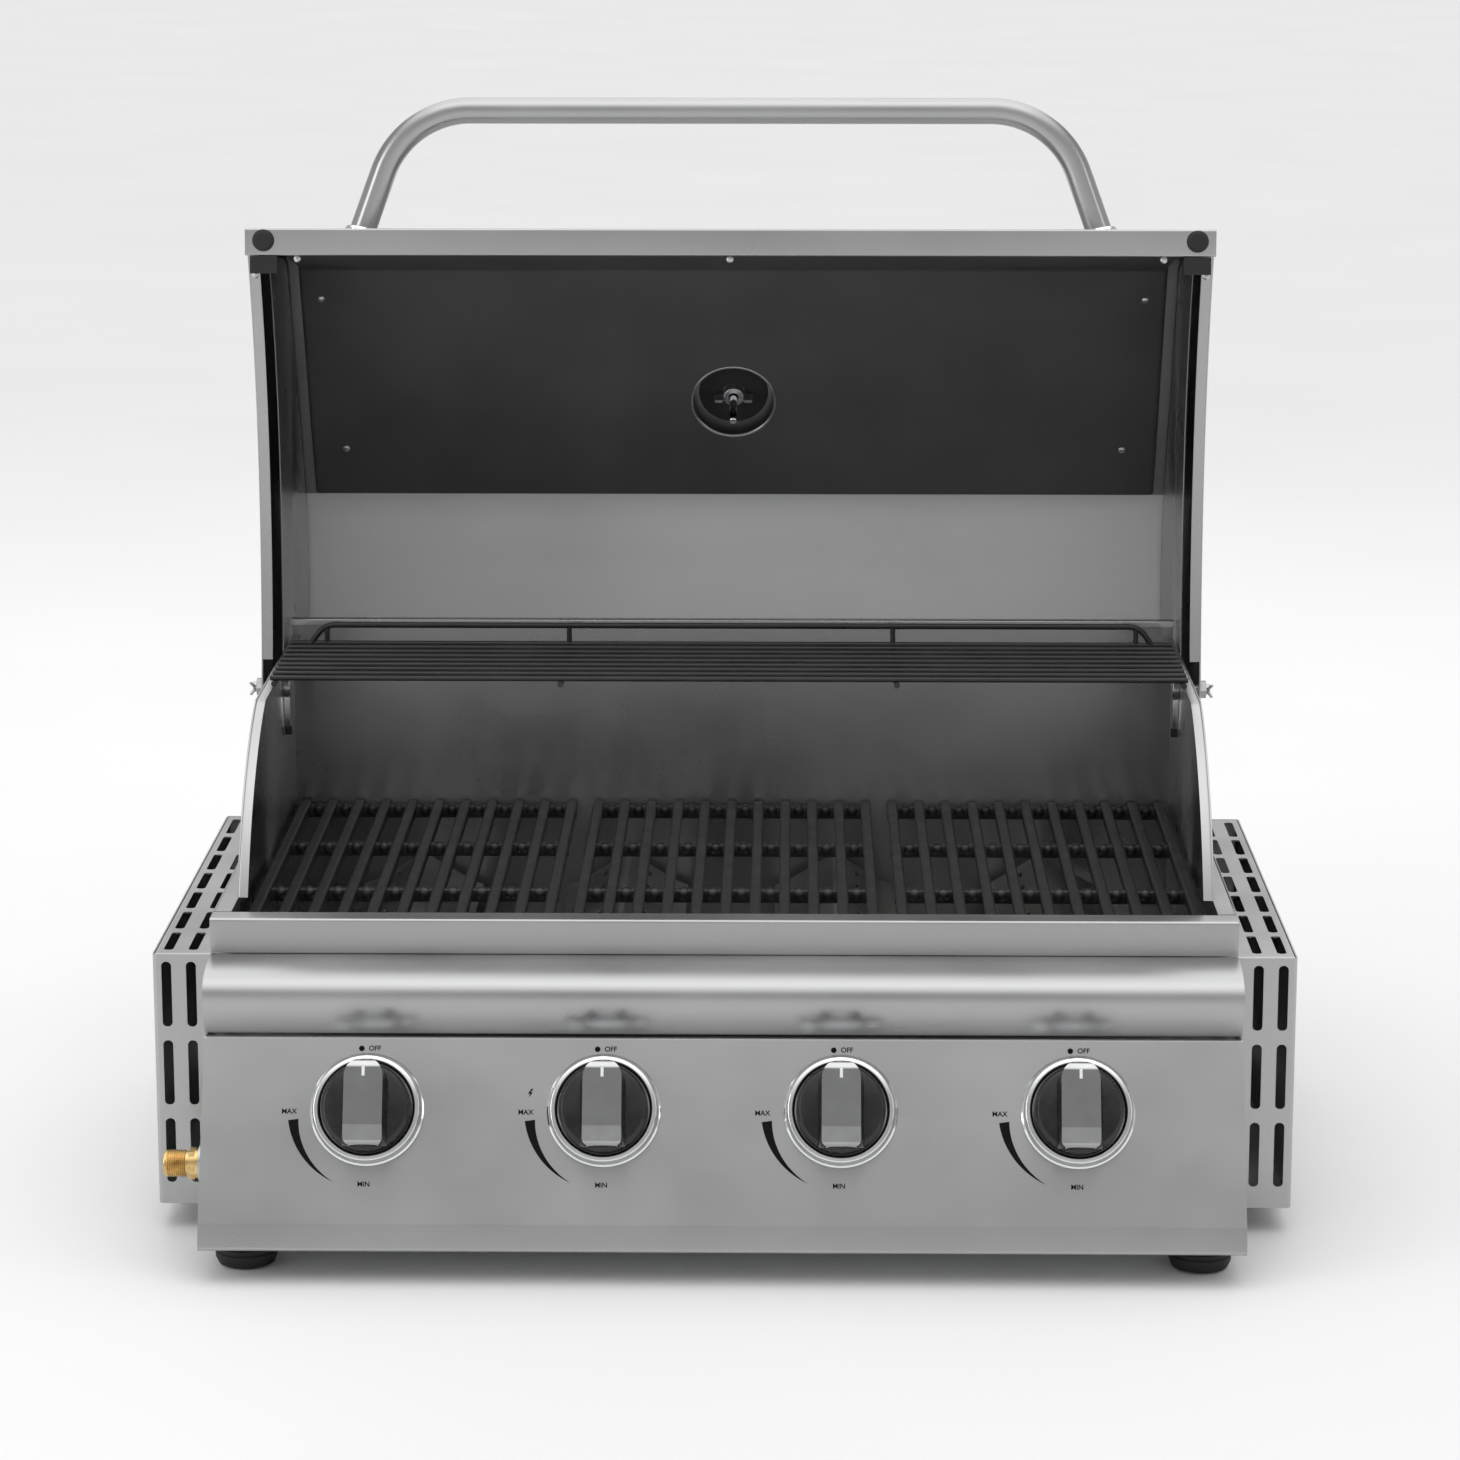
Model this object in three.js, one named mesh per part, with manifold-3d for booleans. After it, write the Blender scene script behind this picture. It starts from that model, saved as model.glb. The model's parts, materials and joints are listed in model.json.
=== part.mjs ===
// Four-burner gas barbecue grill, shown with its hood open. Millimetres, +Z up, front towards -Y.
// Every part is placed with y = 0 on the face of the front rim and z = 0 under the feet.
// The last lines move the whole grill so that the origin is at the middle of its base.

import * as THREE from 'three';
import { mergeVertices } from 'three/addons/utils/BufferGeometryUtils.js';
import Module from 'manifold-3d';

const wasm = await Module();
wasm.setup();

// ---------------------------------------------------------------- driving dimensions
// Points in pairs are [y, z] unless a comment says otherwise.
const GAP = 0.3;                 // clearance between touching parts
const SHEET = 1.2;               // sheet steel of the body and the hood

const RIM_TOP = 226;             // height of the rim that the hood closes on
const RIM = { half: 350, depth: 20, foot: RIM_TOP - 24, hem: 12 };
const PANEL = { top: [-41, 154.8], fold: [-97, 41], lip: [-102, 23], hem: [-88, 23], shelf: [-20, 155.6], back: -2 };

const KNOB = { drop: 49.3, pitch: 159, radius: 30, rest: 5.5, travel: 4, gripHalf: 14 };
const BEZEL = { inner: 31, outer: 38.4, height: 9 };
const STEM = { radius: 4, end: 22, hole: 7 };
const PLUG = { radius: 6, end: -32, shoulder: -14 };
const VALVE = { radius: 11, end: -36, bore: 6.4, jet: 4.5 };
const PIPE = { y: -62, z: 72, radius: 9 };          // gas manifold
const INLET = { radius: 10, reach: 26, bore: 5, hexagon: 11.2 };

const FIREBOX = { half: 338.5, back: 422, front: 24, floor: 62, plateFoot: 26, backTop: RIM_TOP + 128 };
const SIDE_EDGE = { start: [57, RIM_TOP], pull: [100, RIM_TOP + 82], peak: [184, RIM_TOP + 113], fold: 6.5 };
const BASE_HEIGHT = 24;          // underside of the base pan, on the feet
const BASE_FRONT = -86;
const DRAIN = { half: 60, front: 180, back: 270 };
const DRIP_TRAY = { half: 230, front: 60, back: 436, bottom: 25.8, top: 58, wall: 1, pull: 18 };

const BURNER = { height: 97, radius: 13, wall: 1.2, front: -7, back: 408, port: 14.5 };
const TAMER = { half: 46, hem: 10, eaves: 146, ridge: 172, front: 36, back: 408 };
const GRATE = { top: RIM_TOP - 15, front: 27, back: 416, pitch: 20.6, bars: 11, crossBars: [31, 153, 288, 410] };
const RACK = { front: 232, back: 362, wires: 9, half: 333, radius: 2.2, guard: 14, inner: 122 };

const VENT = { half: 392, front: 14, back: 419, bottom: 18, top: 197, rows: [9.5, 26.5] };
const SLOT = { length: 46, width: 6.6, pitch: 56, frontCount: 3, topCount: 7 };
const FEET = [{ place: 'front', x: 323, y: -55 }, { place: 'rear', x: 312, y: 330 }];

const HOOD_HALF = 352.5;
const HOOD_OPEN = THREE.MathUtils.degToRad(95.8);
const PIVOT = [350, RIM_TOP + 88];
const PIVOT_BOLT = { radius: 4, hole: 4.3, head: 7, spacer: 6.5 };
const LIP = [6, RIM_TOP + 3];    // front bottom corner of the closed hood
const LIP_RETURN = 20;
const BROW = { y: 27, rounding: 24 };               // bend between the hood's front and its slope
const SLOPE = { through: [215, RIM_TOP + 282], angle: THREE.MathUtils.degToRad(31.9), radius: 120 };
const REAR_EDGE = [415, RIM_TOP + 185];
const LINER = { half: 332, offset: 12, back: 3, foot: [22, RIM_TOP + 16], hole: 32 };
const INNER_WALL = { near: 340.2, far: 341.2, inset: 5, raise: 42 };
const DIAL_Y = 132;              // thermometer, on the slope of the hood
const BUMPER = { x: 339, radius: 8, height: 2.6 };
const HANDLE = { radius: 9.5, reach: 85, base: 268.8, slant: THREE.MathUtils.degToRad(20), bend: 69,
  height: RIM_TOP + 34, root: LIP[0] - 0.3, buried: 9, lean: Math.atan2(21, 165) };

const FINISH = {
  steel: { color: 0xb9bbbc, metalness: 1.0, roughness: 0.34 },
  chrome: { color: 0xe4e6e8, metalness: 1.0, roughness: 0.12 },
  liner: { color: 0x4a4b4c, metalness: 0.8, roughness: 0.55 },
  black: { color: 0x121212, metalness: 0.0, roughness: 0.35 },
  enamel: { color: 0x141414, metalness: 0.1, roughness: 0.42 },
  brass: { color: 0xb98f3c, metalness: 1.0, roughness: 0.3 },
  rubber: { color: 0x161616, metalness: 0.0, roughness: 0.8 },
  zinc: { color: 0x9a9c9e, metalness: 0.9, roughness: 0.45 },
};

const KNOB_PLACES = [-1.5, -0.5, 0.5, 1.5].map((step) => step * KNOB.pitch);
const grill = new THREE.Group();
const hood = new THREE.Group();

// ---------------------------------------------------------------- building blocks
function addPart(parent, name, geometry, finish) {
  const mesh = new THREE.Mesh(geometry, new THREE.MeshStandardMaterial(FINISH[finish]));
  mesh.name = name;
  parent.add(mesh);
}

function toSolid(geometry) {
  const bare = geometry.clone();
  bare.deleteAttribute('normal');
  bare.deleteAttribute('uv');
  const merged = mergeVertices(bare, 1e-4);
  const vertProperties = new Float32Array(merged.attributes.position.array);
  const triVerts = new Uint32Array(merged.index.array);
  return new wasm.Manifold(new wasm.Mesh({ numProp: 3, vertProperties, triVerts }));
}

function toGeometry(solid) {
  const mesh = solid.getMesh();
  const geometry = new THREE.BufferGeometry();
  geometry.setAttribute('position', new THREE.BufferAttribute(new Float32Array(mesh.vertProperties), 3));
  geometry.setIndex(new THREE.BufferAttribute(new Uint32Array(mesh.triVerts), 1));
  return geometry;
}

function join(...geometries) {
  const solids = geometries.map(toSolid);
  return toGeometry(solids.reduce((whole, next) => whole.add(next)));
}

function cut(geometry, ...tools) {
  return toGeometry(tools.map(toSolid).reduce((rest, tool) => rest.subtract(tool), toSolid(geometry)));
}

// Side +1 keeps a right-hand piece; side -1 turns it into its left-hand twin.
function mirrored(geometry, side) {
  return side > 0 ? geometry : toGeometry(toSolid(geometry).mirror([1, 0, 0]));
}

function moved(geometry, x, y, z) {
  return geometry.clone().translate(x, y, z);
}

// A box between two corners.
function box(low, high) {
  const size = high.map((value, axis) => value - low[axis]);
  const geometry = new THREE.BoxGeometry(...size);
  return geometry.translate(...low.map((value, axis) => value + size[axis] / 2));
}

function vector2([a, b]) {
  return new THREE.Vector2(a, b);
}

function extruded(outline, depth) {
  return new THREE.ExtrudeGeometry(new THREE.Shape(outline.map(vector2)), { depth, bevelEnabled: false });
}

// An outline of [y, z] points extruded along X.
function alongX(outline, start, end) {
  const [x, y, z] = [new THREE.Vector3(1, 0, 0), new THREE.Vector3(0, 1, 0), new THREE.Vector3(0, 0, 1)];
  const geometry = extruded(outline, end - start).applyMatrix4(new THREE.Matrix4().makeBasis(y, z, x));
  return geometry.translate(start, 0, 0);
}

// An outline of [x, z] points extruded along Y.
function alongY(outline, start, end) {
  return extruded(outline, end - start).rotateX(Math.PI / 2).translate(0, end, 0);
}

// A turned part whose axis is Z, from [radius, height] points.
function turned(profile, segments) {
  return new THREE.LatheGeometry(profile.map(vector2), segments).rotateX(Math.PI / 2);
}

function rod(radius, length, segments) {
  return turned([[0, 0], [radius, 0], [radius, length], [0, length]], segments);
}

function rodAlongY(radius, from, to, x, z, segments) {
  return rod(radius, to - from, segments).rotateX(-Math.PI / 2).translate(x, from, z);
}

function rodAlongX(radius, from, to, y, z, segments) {
  return rod(radius, to - from, segments).rotateY(Math.PI / 2).translate(from, y, z);
}

function unit([a, b]) {
  const length = Math.hypot(a, b);
  return [a / length, b / length];
}

// A path moved sideways by a distance, to the right of its direction, with mitred corners.
function offsetPath(path, distance) {
  return path.map((point, index) => {
    const before = path[Math.max(index - 1, 0)];
    const after = path[Math.min(index + 1, path.length - 1)];
    const next = unit([after[0] - point[0], after[1] - point[1]]);
    const first = index > 0 ? unit([point[0] - before[0], point[1] - before[1]]) : next;
    const last = index < path.length - 1 ? next : first;
    const normal = unit([first[1] + last[1], -first[0] - last[0]]);
    const stretch = distance / (normal[0] * first[1] - normal[1] * first[0]);
    return [point[0] + normal[0] * stretch, point[1] + normal[1] * stretch];
  });
}

// The cross-section of a folded sheet whose outer surface follows a path.
function foldedSheet(path, thickness) {
  return [...path, ...offsetPath(path, thickness).reverse()];
}

function arc(centre, radius, startDegrees, endDegrees, steps) {
  return Array.from({ length: steps + 1 }, (_, step) => {
    const angle = THREE.MathUtils.degToRad(startDegrees + (endDegrees - startDegrees) * step / steps);
    return [centre[0] + radius * Math.cos(angle), centre[1] + radius * Math.sin(angle)];
  });
}

// Points along a quadratic curve for three controls and a cubic one for four.
function curve(steps, ...controls) {
  const shape = controls.length > 3 ? THREE.CubicBezierCurve : THREE.QuadraticBezierCurve;
  return new shape(...controls.map(vector2)).getPoints(steps).map((point) => [point.x, point.y]);
}

// A folded sheet across the front, with an end plate let in at each end.
function closedChannel(path, endCorners) {
  const inset = SHEET / 2;
  const sheet = alongX(foldedSheet(path, SHEET), -RIM.half, RIM.half);
  const loop = offsetPath([endCorners[endCorners.length - 1], ...endCorners, endCorners[0]], inset);
  const end = alongX(loop.slice(1, -1).reverse(), RIM.half - inset - SHEET, RIM.half - inset);
  return join(sheet, end, moved(end, SHEET + 2 * inset - 2 * RIM.half, 0, 0));
}

// ---------------------------------------------------------------- front: rim, shoulder, control panel
function frontRim() {
  const crest = [[0, RIM.foot], [0, RIM_TOP], [RIM.depth, RIM_TOP]];
  return closedChannel([...crest, [RIM.depth, RIM_TOP - RIM.hem]], [...crest, [RIM.depth, RIM.foot]]);
}

// The convex sheet that bulges forward between the rim and the control panel.
function shoulderPanel() {
  const top = RIM.foot - 0.5;
  const foot = [PANEL.top[0] + 3, PANEL.top[1] + 1.7];
  const path = curve(12, foot, [-60, top - 12], [-46, top + 0.4], [1, top]);
  return closedChannel(path, [...path, [1, foot[1]]]);
}

// Puts geometry made around a knob's axis (Z out of the panel, Y up the panel) in its place.
function onPanel(geometry, x) {
  const up = unit([PANEL.top[0] - PANEL.fold[0], PANEL.top[1] - PANEL.fold[1]]);
  const centre = [PANEL.top[0] - KNOB.drop * up[0], PANEL.top[1] - KNOB.drop * up[1]];
  return geometry.clone().rotateX(Math.atan2(up[1], up[0])).translate(x, ...centre);
}

function controlPanel() {
  const path = [PANEL.hem, PANEL.lip, PANEL.fold, PANEL.top, PANEL.shelf];
  const corners = [PANEL.lip, PANEL.fold, PANEL.top, [PANEL.back, PANEL.top[1]], [PANEL.back, PANEL.lip[1]]];
  const holes = KNOB_PLACES.map((x) => onPanel(moved(rod(STEM.hole, 20, 12), 0, 0, -10), x));
  const inletHole = rodAlongX(INLET.radius + 1, -RIM.half - 5, -RIM.half + 5, PIPE.y, PIPE.z, 14);
  return cut(closedChannel(path, corners), ...holes, inletHole);
}

function bezel() {
  const { inner, outer, height } = BEZEL;
  const roll = (outer - inner) / 2;
  const crown = arc([inner + roll, height - roll], roll, 180, 0, 4);
  return turned([[inner, GAP], ...crown, [outer, GAP], [inner, GAP]].reverse(), 24);
}

// Black disc with a tall grip bar across it and a blind hole for the stem.
function knob() {
  const disc = turned([[0, KNOB.rest], [KNOB.radius, KNOB.rest], [KNOB.radius, 15], [27, 18], [0, 19.5]], 20);
  const side = [[-28, 17], [-27.6, 27.5], [-26, 30], [-15, 33.2], [24, 35], [28, 33], [29.5, 29], [29.5, 13], [-28, 13]];
  const grip = alongX(side, -KNOB.gripHalf, KNOB.gripHalf);
  const socket = rod(STEM.radius + 0.4, STEM.end + KNOB.travel + 1, 12);
  return cut(join(disc, grip), socket);
}

// Tapered plug deep in the valve and the stem that comes out through the panel.
function valvePlug() {
  return turned([[0, PLUG.end], [PLUG.radius, PLUG.end], [PLUG.radius, PLUG.shoulder], [STEM.radius, PLUG.shoulder],
    [STEM.radius, STEM.end], [0, STEM.end]], 12);
}

// Brass valve body with its saddle on the manifold pipe and its jet towards the burner.
function valveBody(x) {
  const barrel = onPanel(moved(rod(VALVE.radius, 30, 16), 0, 0, VALVE.end), x);
  const saddle = onPanel(box([-8, -24.5, -30], [8, -4, -12]), x);
  const jet = rodAlongY(VALVE.jet, -42, -3, x, BURNER.height, 12);
  const bore = onPanel(moved(rod(VALVE.bore, 40, 12), 0, 0, PLUG.end - 0.4), x);
  const pipe = rodAlongX(PIPE.radius + GAP, x - 20, x + 20, PIPE.y, PIPE.z, 20);
  return cut(join(barrel, saddle, jet), bore, pipe);
}

function manifoldPipe() {
  return rodAlongX(PIPE.radius, -RIM.half + 6, KNOB_PLACES[3] + 30, PIPE.y, PIPE.z, 20);
}

// Hollow inlet with a thread relief, a hexagon against the panel and a collar inside it.
function gasInlet() {
  const wall = -RIM.half;
  const profile = [[0, 0], [8, 0], [8.5, 1], [9.2, 1], [9.2, 15], [8.6, 15.5], [8.6, 17], [INLET.radius, 17],
    [INLET.radius, 31.7], [0, 31.7]];
  const body = turned(profile, 14).rotateY(Math.PI / 2).translate(wall - INLET.reach, PIPE.y, PIPE.z);
  const hexagon = rodAlongX(INLET.hexagon, wall - 9, wall - 5, PIPE.y, PIPE.z, 6);
  const bore = rodAlongX(INLET.bore, wall - INLET.reach - 4, wall - 2, PIPE.y, PIPE.z, 12);
  return cut(join(body, hexagon), bore);
}

// ---------------------------------------------------------------- firebox
// Side plate with curved front edge, folded-in top edge and outer ledge level with the rim.
function fireboxSide() {
  const under = RIM.foot - 1;
  const front = RIM.depth + 1;
  const back = FIREBOX.back - SHEET - GAP;
  const edge = [...curve(10, SIDE_EDGE.start, SIDE_EDGE.pull, SIDE_EDGE.peak), [back, SIDE_EDGE.peak[1]]];
  const inner = FIREBOX.half - SHEET;
  const outline = [[2, FIREBOX.plateFoot], [2, under], [front, under], [front, RIM_TOP], ...edge,
    [back, FIREBOX.plateFoot]];
  const plate = alongX(outline.reverse(), inner, FIREBOX.half);
  const fold = alongX(foldedSheet(edge, SHEET), inner - SIDE_EDGE.fold, inner + 0.5);
  const ledge = box([FIREBOX.half - 0.5, front, RIM_TOP - SHEET], [RIM.half, back, RIM_TOP]);
  const bolt = rodAlongX(PIVOT_BOLT.hole, inner - 5, FIREBOX.half + 5, ...PIVOT, 12);
  return cut(join(plate, fold, ledge), bolt);
}

// Back wall with a hem folded forward along its top; the drip tray slides out under it.
function fireboxBack() {
  const { half, back, floor, backTop } = FIREBOX;
  const wall = box([-half, back - SHEET, floor], [half, back, backTop]);
  const hem = box([-half + 6, back - 8, backTop - SHEET], [half - 6, back - 0.5, backTop]);
  return join(wall, hem);
}

// Front wall with a port for each burner, folded back into the floor under the burners.
// A hole in the floor lets grease fall into the tray.
function burnerTray() {
  const half = FIREBOX.half - SHEET - GAP;
  const { front, floor } = FIREBOX;
  const wall = box([-half, front, FIREBOX.plateFoot], [half, front + SHEET, GRATE.top - 12]);
  const sheet = box([-half, front, floor], [half, FIREBOX.back - SHEET - GAP, floor + SHEET]);
  const ports = KNOB_PLACES.map((x) => rodAlongY(BURNER.port, front - 5, front + 5, x, BURNER.height, 14));
  const drain = box([-DRAIN.half, DRAIN.front, floor - 4], [DRAIN.half, DRAIN.back, floor + 4]);
  return cut(join(wall, sheet), ...ports, drain);
}

function basePan() {
  const half = FIREBOX.half - SHEET - GAP;
  const bottom = BASE_HEIGHT + GAP;
  return box([-half, BASE_FRONT, bottom], [half, FIREBOX.back - 1, bottom + SHEET]);
}

function dripTray() {
  const { half, front, back, bottom, top, wall, pull } = DRIP_TRAY;
  const block = box([-half, front, bottom], [half, back, top]);
  const inside = box([-half + wall, front + wall, bottom + wall], [half - wall, back - wall, top + 1]);
  const handle = box([-60, back - 0.5, top - 14], [60, back + pull, top - 12]);
  return join(cut(block, inside), handle);
}

function burner(x) {
  const { radius, wall, front, back, height } = BURNER;
  const bore = rodAlongY(radius - wall, front - 1, back - 2, x, height, 14);
  return cut(rodAlongY(radius, front, back, x, height, 14), bore);
}

// Folded roof over a burner that spreads the heat and sheds dripping fat.
function flameTamer(x) {
  const { half, hem, eaves, ridge, front, back } = TAMER;
  const roof = [[-half, eaves], [hem - half, eaves + 4], [0, ridge], [half - hem, eaves + 4], [half, eaves]];
  return moved(alongY(foldedSheet(roof, 1), front, back), x, 0, 0);
}

// Tapered bars along the depth on four cross bars.
function grate(middle) {
  const section = [[-4, 0], [-3, -11], [3, -11], [4, 0]];
  const bar = moved(alongY(section, GRATE.front, GRATE.back), 0, 0, GRATE.top);
  const first = middle - GRATE.pitch * (GRATE.bars - 1) / 2;
  const places = Array.from({ length: GRATE.bars }, (_, index) => first + index * GRATE.pitch);
  const bars = places.map((x) => moved(bar, x, 0, 0));
  const [left, right] = [places[0] - 3.5, places[GRATE.bars - 1] + 3.5];
  const cross = GRATE.crossBars.map((y) => box([left, y - 4, GRATE.top - 12], [right, y + 4, GRATE.top - 2]));
  return join(...bars, ...cross);
}

// Wire rack over the rear of the fire, on the folded edges of the side plates.
// The wires are square, on round cross wires, with a raised guard wire at the back.
function warmingRack() {
  const { front, back, half, radius, inner } = RACK;
  const low = SIDE_EDGE.peak[1] + GAP + radius;
  const high = low + 3;
  const pitch = (back - front) / (RACK.wires - 1);
  const wires = Array.from({ length: RACK.wires }, (_, index) => (
    rodAlongX(radius, -half, half, front + index * pitch, high, 4)));
  const cross = [3 - half, -inner, inner, half - 3].map((x) => rodAlongY(radius, front - 3, back + 3, x, low, 6));
  const guardTop = high + RACK.guard;
  const guard = rodAlongX(radius, 30 - half, half - 30, back, guardTop, 4);
  const posts = [32 - half, -inner, inner, half - 32].map((x) => (
    box([x - 1.8, back - 1.8, high], [x + 1.8, back + 1.8, guardTop])));
  return join(...wires, ...cross, guard, ...posts);
}

// ---------------------------------------------------------------- side vent boxes and feet
// A slot with round ends, as a cutting block along Z centred on the origin, long along Y.
function slotCutter() {
  const [end, depth] = [SLOT.width / 2, 8];
  const half = SLOT.length / 2 - end;
  const outline = [...arc([0, half], end, 0, 180, 3), ...arc([0, -half], end, 180, 360, 3)];
  return extruded(outline, depth).translate(0, 0, -depth / 2);
}

// Sheet box open towards the firebox, with slots through its front and its top.
function ventBox(side) {
  const inner = FIREBOX.half + GAP;
  const shell = box([inner, VENT.front, VENT.bottom], [VENT.half, VENT.back, VENT.top]);
  const hollow = box([inner - 1, VENT.front + SHEET, VENT.bottom + SHEET],
    [VENT.half - SHEET, VENT.back - SHEET, VENT.top - SHEET]);
  const cutters = [];
  VENT.rows.forEach((inset) => {
    const x = VENT.half - inset;
    for (let index = 0; index < SLOT.frontCount; index += 1) {
      const z = VENT.top - 28.5 - index * SLOT.pitch;
      cutters.push(slotCutter().rotateX(Math.PI / 2).translate(x, VENT.front, z));
    }
    for (let index = 0; index < SLOT.topCount; index += 1) {
      cutters.push(moved(slotCutter(), x, VENT.front + 34.5 + index * SLOT.pitch, VENT.top));
    }
  });
  return mirrored(cut(shell, hollow, ...cutters), side);
}

function foot(x, y) {
  const profile = [[0, 0], [15, 0], [19, 1.5], [21, 6], [21, 17], [17, BASE_HEIGHT], [0, BASE_HEIGHT]];
  return moved(turned(profile, 16), x, y, 0);
}

// ---------------------------------------------------------------- hood, drawn closed
// Height of the outside of the hood's flat slope at a depth y.
function slopeHeight(y) {
  return SLOPE.through[1] - (SLOPE.through[0] - y) * Math.tan(SLOPE.angle);
}

// Outer outline of the closed hood from its lip, over the top, to its rear edge.
function hoodPath() {
  const along = [Math.cos(SLOPE.angle), Math.sin(SLOPE.angle)];
  const centre = [SLOPE.through[0] + SLOPE.radius * along[1], SLOPE.through[1] - SLOPE.radius * along[0]];
  const crown = arc(centre, SLOPE.radius, 90 + THREE.MathUtils.radToDeg(SLOPE.angle), 24, 14);
  const corner = [BROW.y, slopeHeight(BROW.y)];
  const front = unit([corner[0] - LIP[0], corner[1] - LIP[1]]);
  const before = [corner[0] - front[0] * BROW.rounding, corner[1] - front[1] * BROW.rounding];
  const after = [corner[0] + along[0] * BROW.rounding, corner[1] + along[1] * BROW.rounding];
  return [LIP, ...curve(6, before, corner, after), ...crown, REAR_EDGE];
}

// Lower edge of an end cap: a shallow arch from the lip to the pivot, raised by a height.
function archEdge(raise, frontY, backY) {
  const base = RIM_TOP + raise;
  return curve(12, [frontY, base + 4], [140, base + 84], [backY, base + 72]);
}

function hoodSkin() {
  const path = [[LIP[0] + LIP_RETURN, LIP[1]], ...hoodPath()];
  const skin = alongX(foldedSheet(path, SHEET), -HOOD_HALF, HOOD_HALF);
  return cut(skin, onSlope(moved(rod(5, 30, 12), 0, 0, -15)));
}

// Sheet cap at one end of the hood, with its lower edge folded inwards around the arch.
function hoodEndCap(side) {
  const outer = HOOD_HALF - GAP;
  const inside = offsetPath(hoodPath(), SHEET + GAP);
  inside[0] = [inside[0][0] + GAP, LIP[1] + SHEET + GAP];
  const heel = arc(PIVOT, 17, 0, -110, 6);
  const arch = archEdge(2, LIP[0] + 3, PIVOT[0] - 22).reverse();
  const plate = alongX([...inside, ...heel, ...arch].reverse(), outer - SHEET, outer);
  const fold = alongX(foldedSheet(arch, SHEET), outer - 8.5, outer - 0.5);
  const bolt = rodAlongX(PIVOT_BOLT.hole, outer - 10, outer + 10, ...PIVOT, 12);
  return mirrored(cut(join(plate, fold), bolt), side);
}

// Flat inner sheet behind the front and the slope of the hood.
function hoodLiner() {
  const drop = LINER.offset / Math.cos(SLOPE.angle) + LINER.back;
  const [brow, crown] = [LINER.foot[0] + 14, SLOPE.through[0] - 1];
  const path = [LINER.foot, [brow, slopeHeight(brow) - drop], [crown, slopeHeight(crown) - drop]];
  const sheet = alongX(foldedSheet(path, 1), -LINER.half, LINER.half);
  return cut(sheet, onSlope(moved(rod(LINER.hole, 40, 32), 0, 0, -34)));
}

// Inner wall beside the liner, one at each end of the hood.
function hoodInnerWall(side) {
  const { near, far, inset, raise } = INNER_WALL;
  const inside = offsetPath(hoodPath(), inset).slice(1);
  const rear = inside.pop();
  const arch = archEdge(raise, LINER.foot[0] + 2, PIVOT[0]).reverse();
  const outline = [[LINER.foot[0] + 2, RIM_TOP + raise + 4], ...inside, [rear[0] - 6, REAR_EDGE[1]],
    ...arch.slice(0, -1)];
  return mirrored(alongX(outline.reverse(), near, far), side);
}

// Puts geometry made around Z in the middle of the hood's slope, Z pointing out.
function onSlope(geometry) {
  return geometry.clone().rotateX(SLOPE.angle).translate(0, DIAL_Y, slopeHeight(DIAL_Y));
}

function thermometer() {
  const profile = [[0, -42], [3, -42], [3, GAP], [33, GAP], [38, 2], [38, 9], [35.5, 11], [34, 8.5], [0, 8.5]];
  return onSlope(turned(profile, 20));
}

function thermometerNut() {
  const hub = turned([[4, -9], [8, -9], [8, -SHEET - 1], [4, -SHEET - 1], [4, -9]], 12);
  const wing = box([-15, -1.2, -15], [15, 1.2, -5]);
  const bore = moved(rod(4, 30, 12), 0, 0, -20);
  return onSlope(cut(join(hub, wing), bore));
}

// Centre line of the handle: a straight bar between two bends, on two slanted legs.
function handlePath() {
  const { slant, bend, base, reach, height, buried } = HANDLE;
  const tangent = bend * Math.tan((Math.PI / 2 - slant) / 2);
  const pull = bend * (4 / 3) * Math.tan((Math.PI / 2 - slant) / 4);
  const corner = base - reach * Math.tan(slant);
  const onLeg = (side, distance) => new THREE.Vector3(
    side * (corner + distance * Math.sin(slant)), distance * Math.cos(slant) - reach, height);
  const onBar = (side, distance) => new THREE.Vector3(side * (corner - distance), -reach, height);
  const root = (side) => new THREE.Vector3(side * (base + buried * Math.tan(slant)), buried, height);
  const bendCurve = (side) => [onLeg(side, tangent), onLeg(side, tangent - pull), onBar(side, tangent - pull),
    onBar(side, tangent)];
  const path = new THREE.CurvePath();
  path.add(new THREE.LineCurve3(root(-1), onLeg(-1, tangent)));
  path.add(new THREE.CubicBezierCurve3(...bendCurve(-1)));
  path.add(new THREE.LineCurve3(onBar(-1, tangent), onBar(1, tangent)));
  path.add(new THREE.CubicBezierCurve3(...bendCurve(1).reverse()));
  path.add(new THREE.LineCurve3(onLeg(1, tangent), root(1)));
  return path;
}

function handleTube(radius) {
  const section = new THREE.Shape(arc([0, 0], radius, 0, 324, 9).map(vector2));
  const tube = new THREE.ExtrudeGeometry(section, { extrudePath: handlePath(), steps: 36, bevelEnabled: false });
  return tube.translate(0, HANDLE.root, 0);
}

// Everything behind the flat front of the hood, to end the handle and its collars against it.
function behindFront() {
  const block = box([-HOOD_HALF, -GAP, -100], [HOOD_HALF, 60, 300]);
  return block.rotateX(-HANDLE.lean).translate(0, ...LIP);
}

function hoodHandle() {
  return cut(handleTube(HANDLE.radius), behindFront());
}

// Low collar round the foot of a leg of the handle.
function handleCollar(side) {
  const ring = turned([[0, -6], [12.8, -6], [12.8, 1], [11.4, 3], [0, 3]], 20).rotateX(Math.PI / 2 - HANDLE.lean);
  const slanted = ring.rotateZ(-side * HANDLE.slant / 2);
  slanted.translate(side * (HANDLE.base + 1.5), HANDLE.root + 3.4, HANDLE.height);
  return cut(slanted, handleTube(HANDLE.radius + GAP), behindFront());
}

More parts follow.
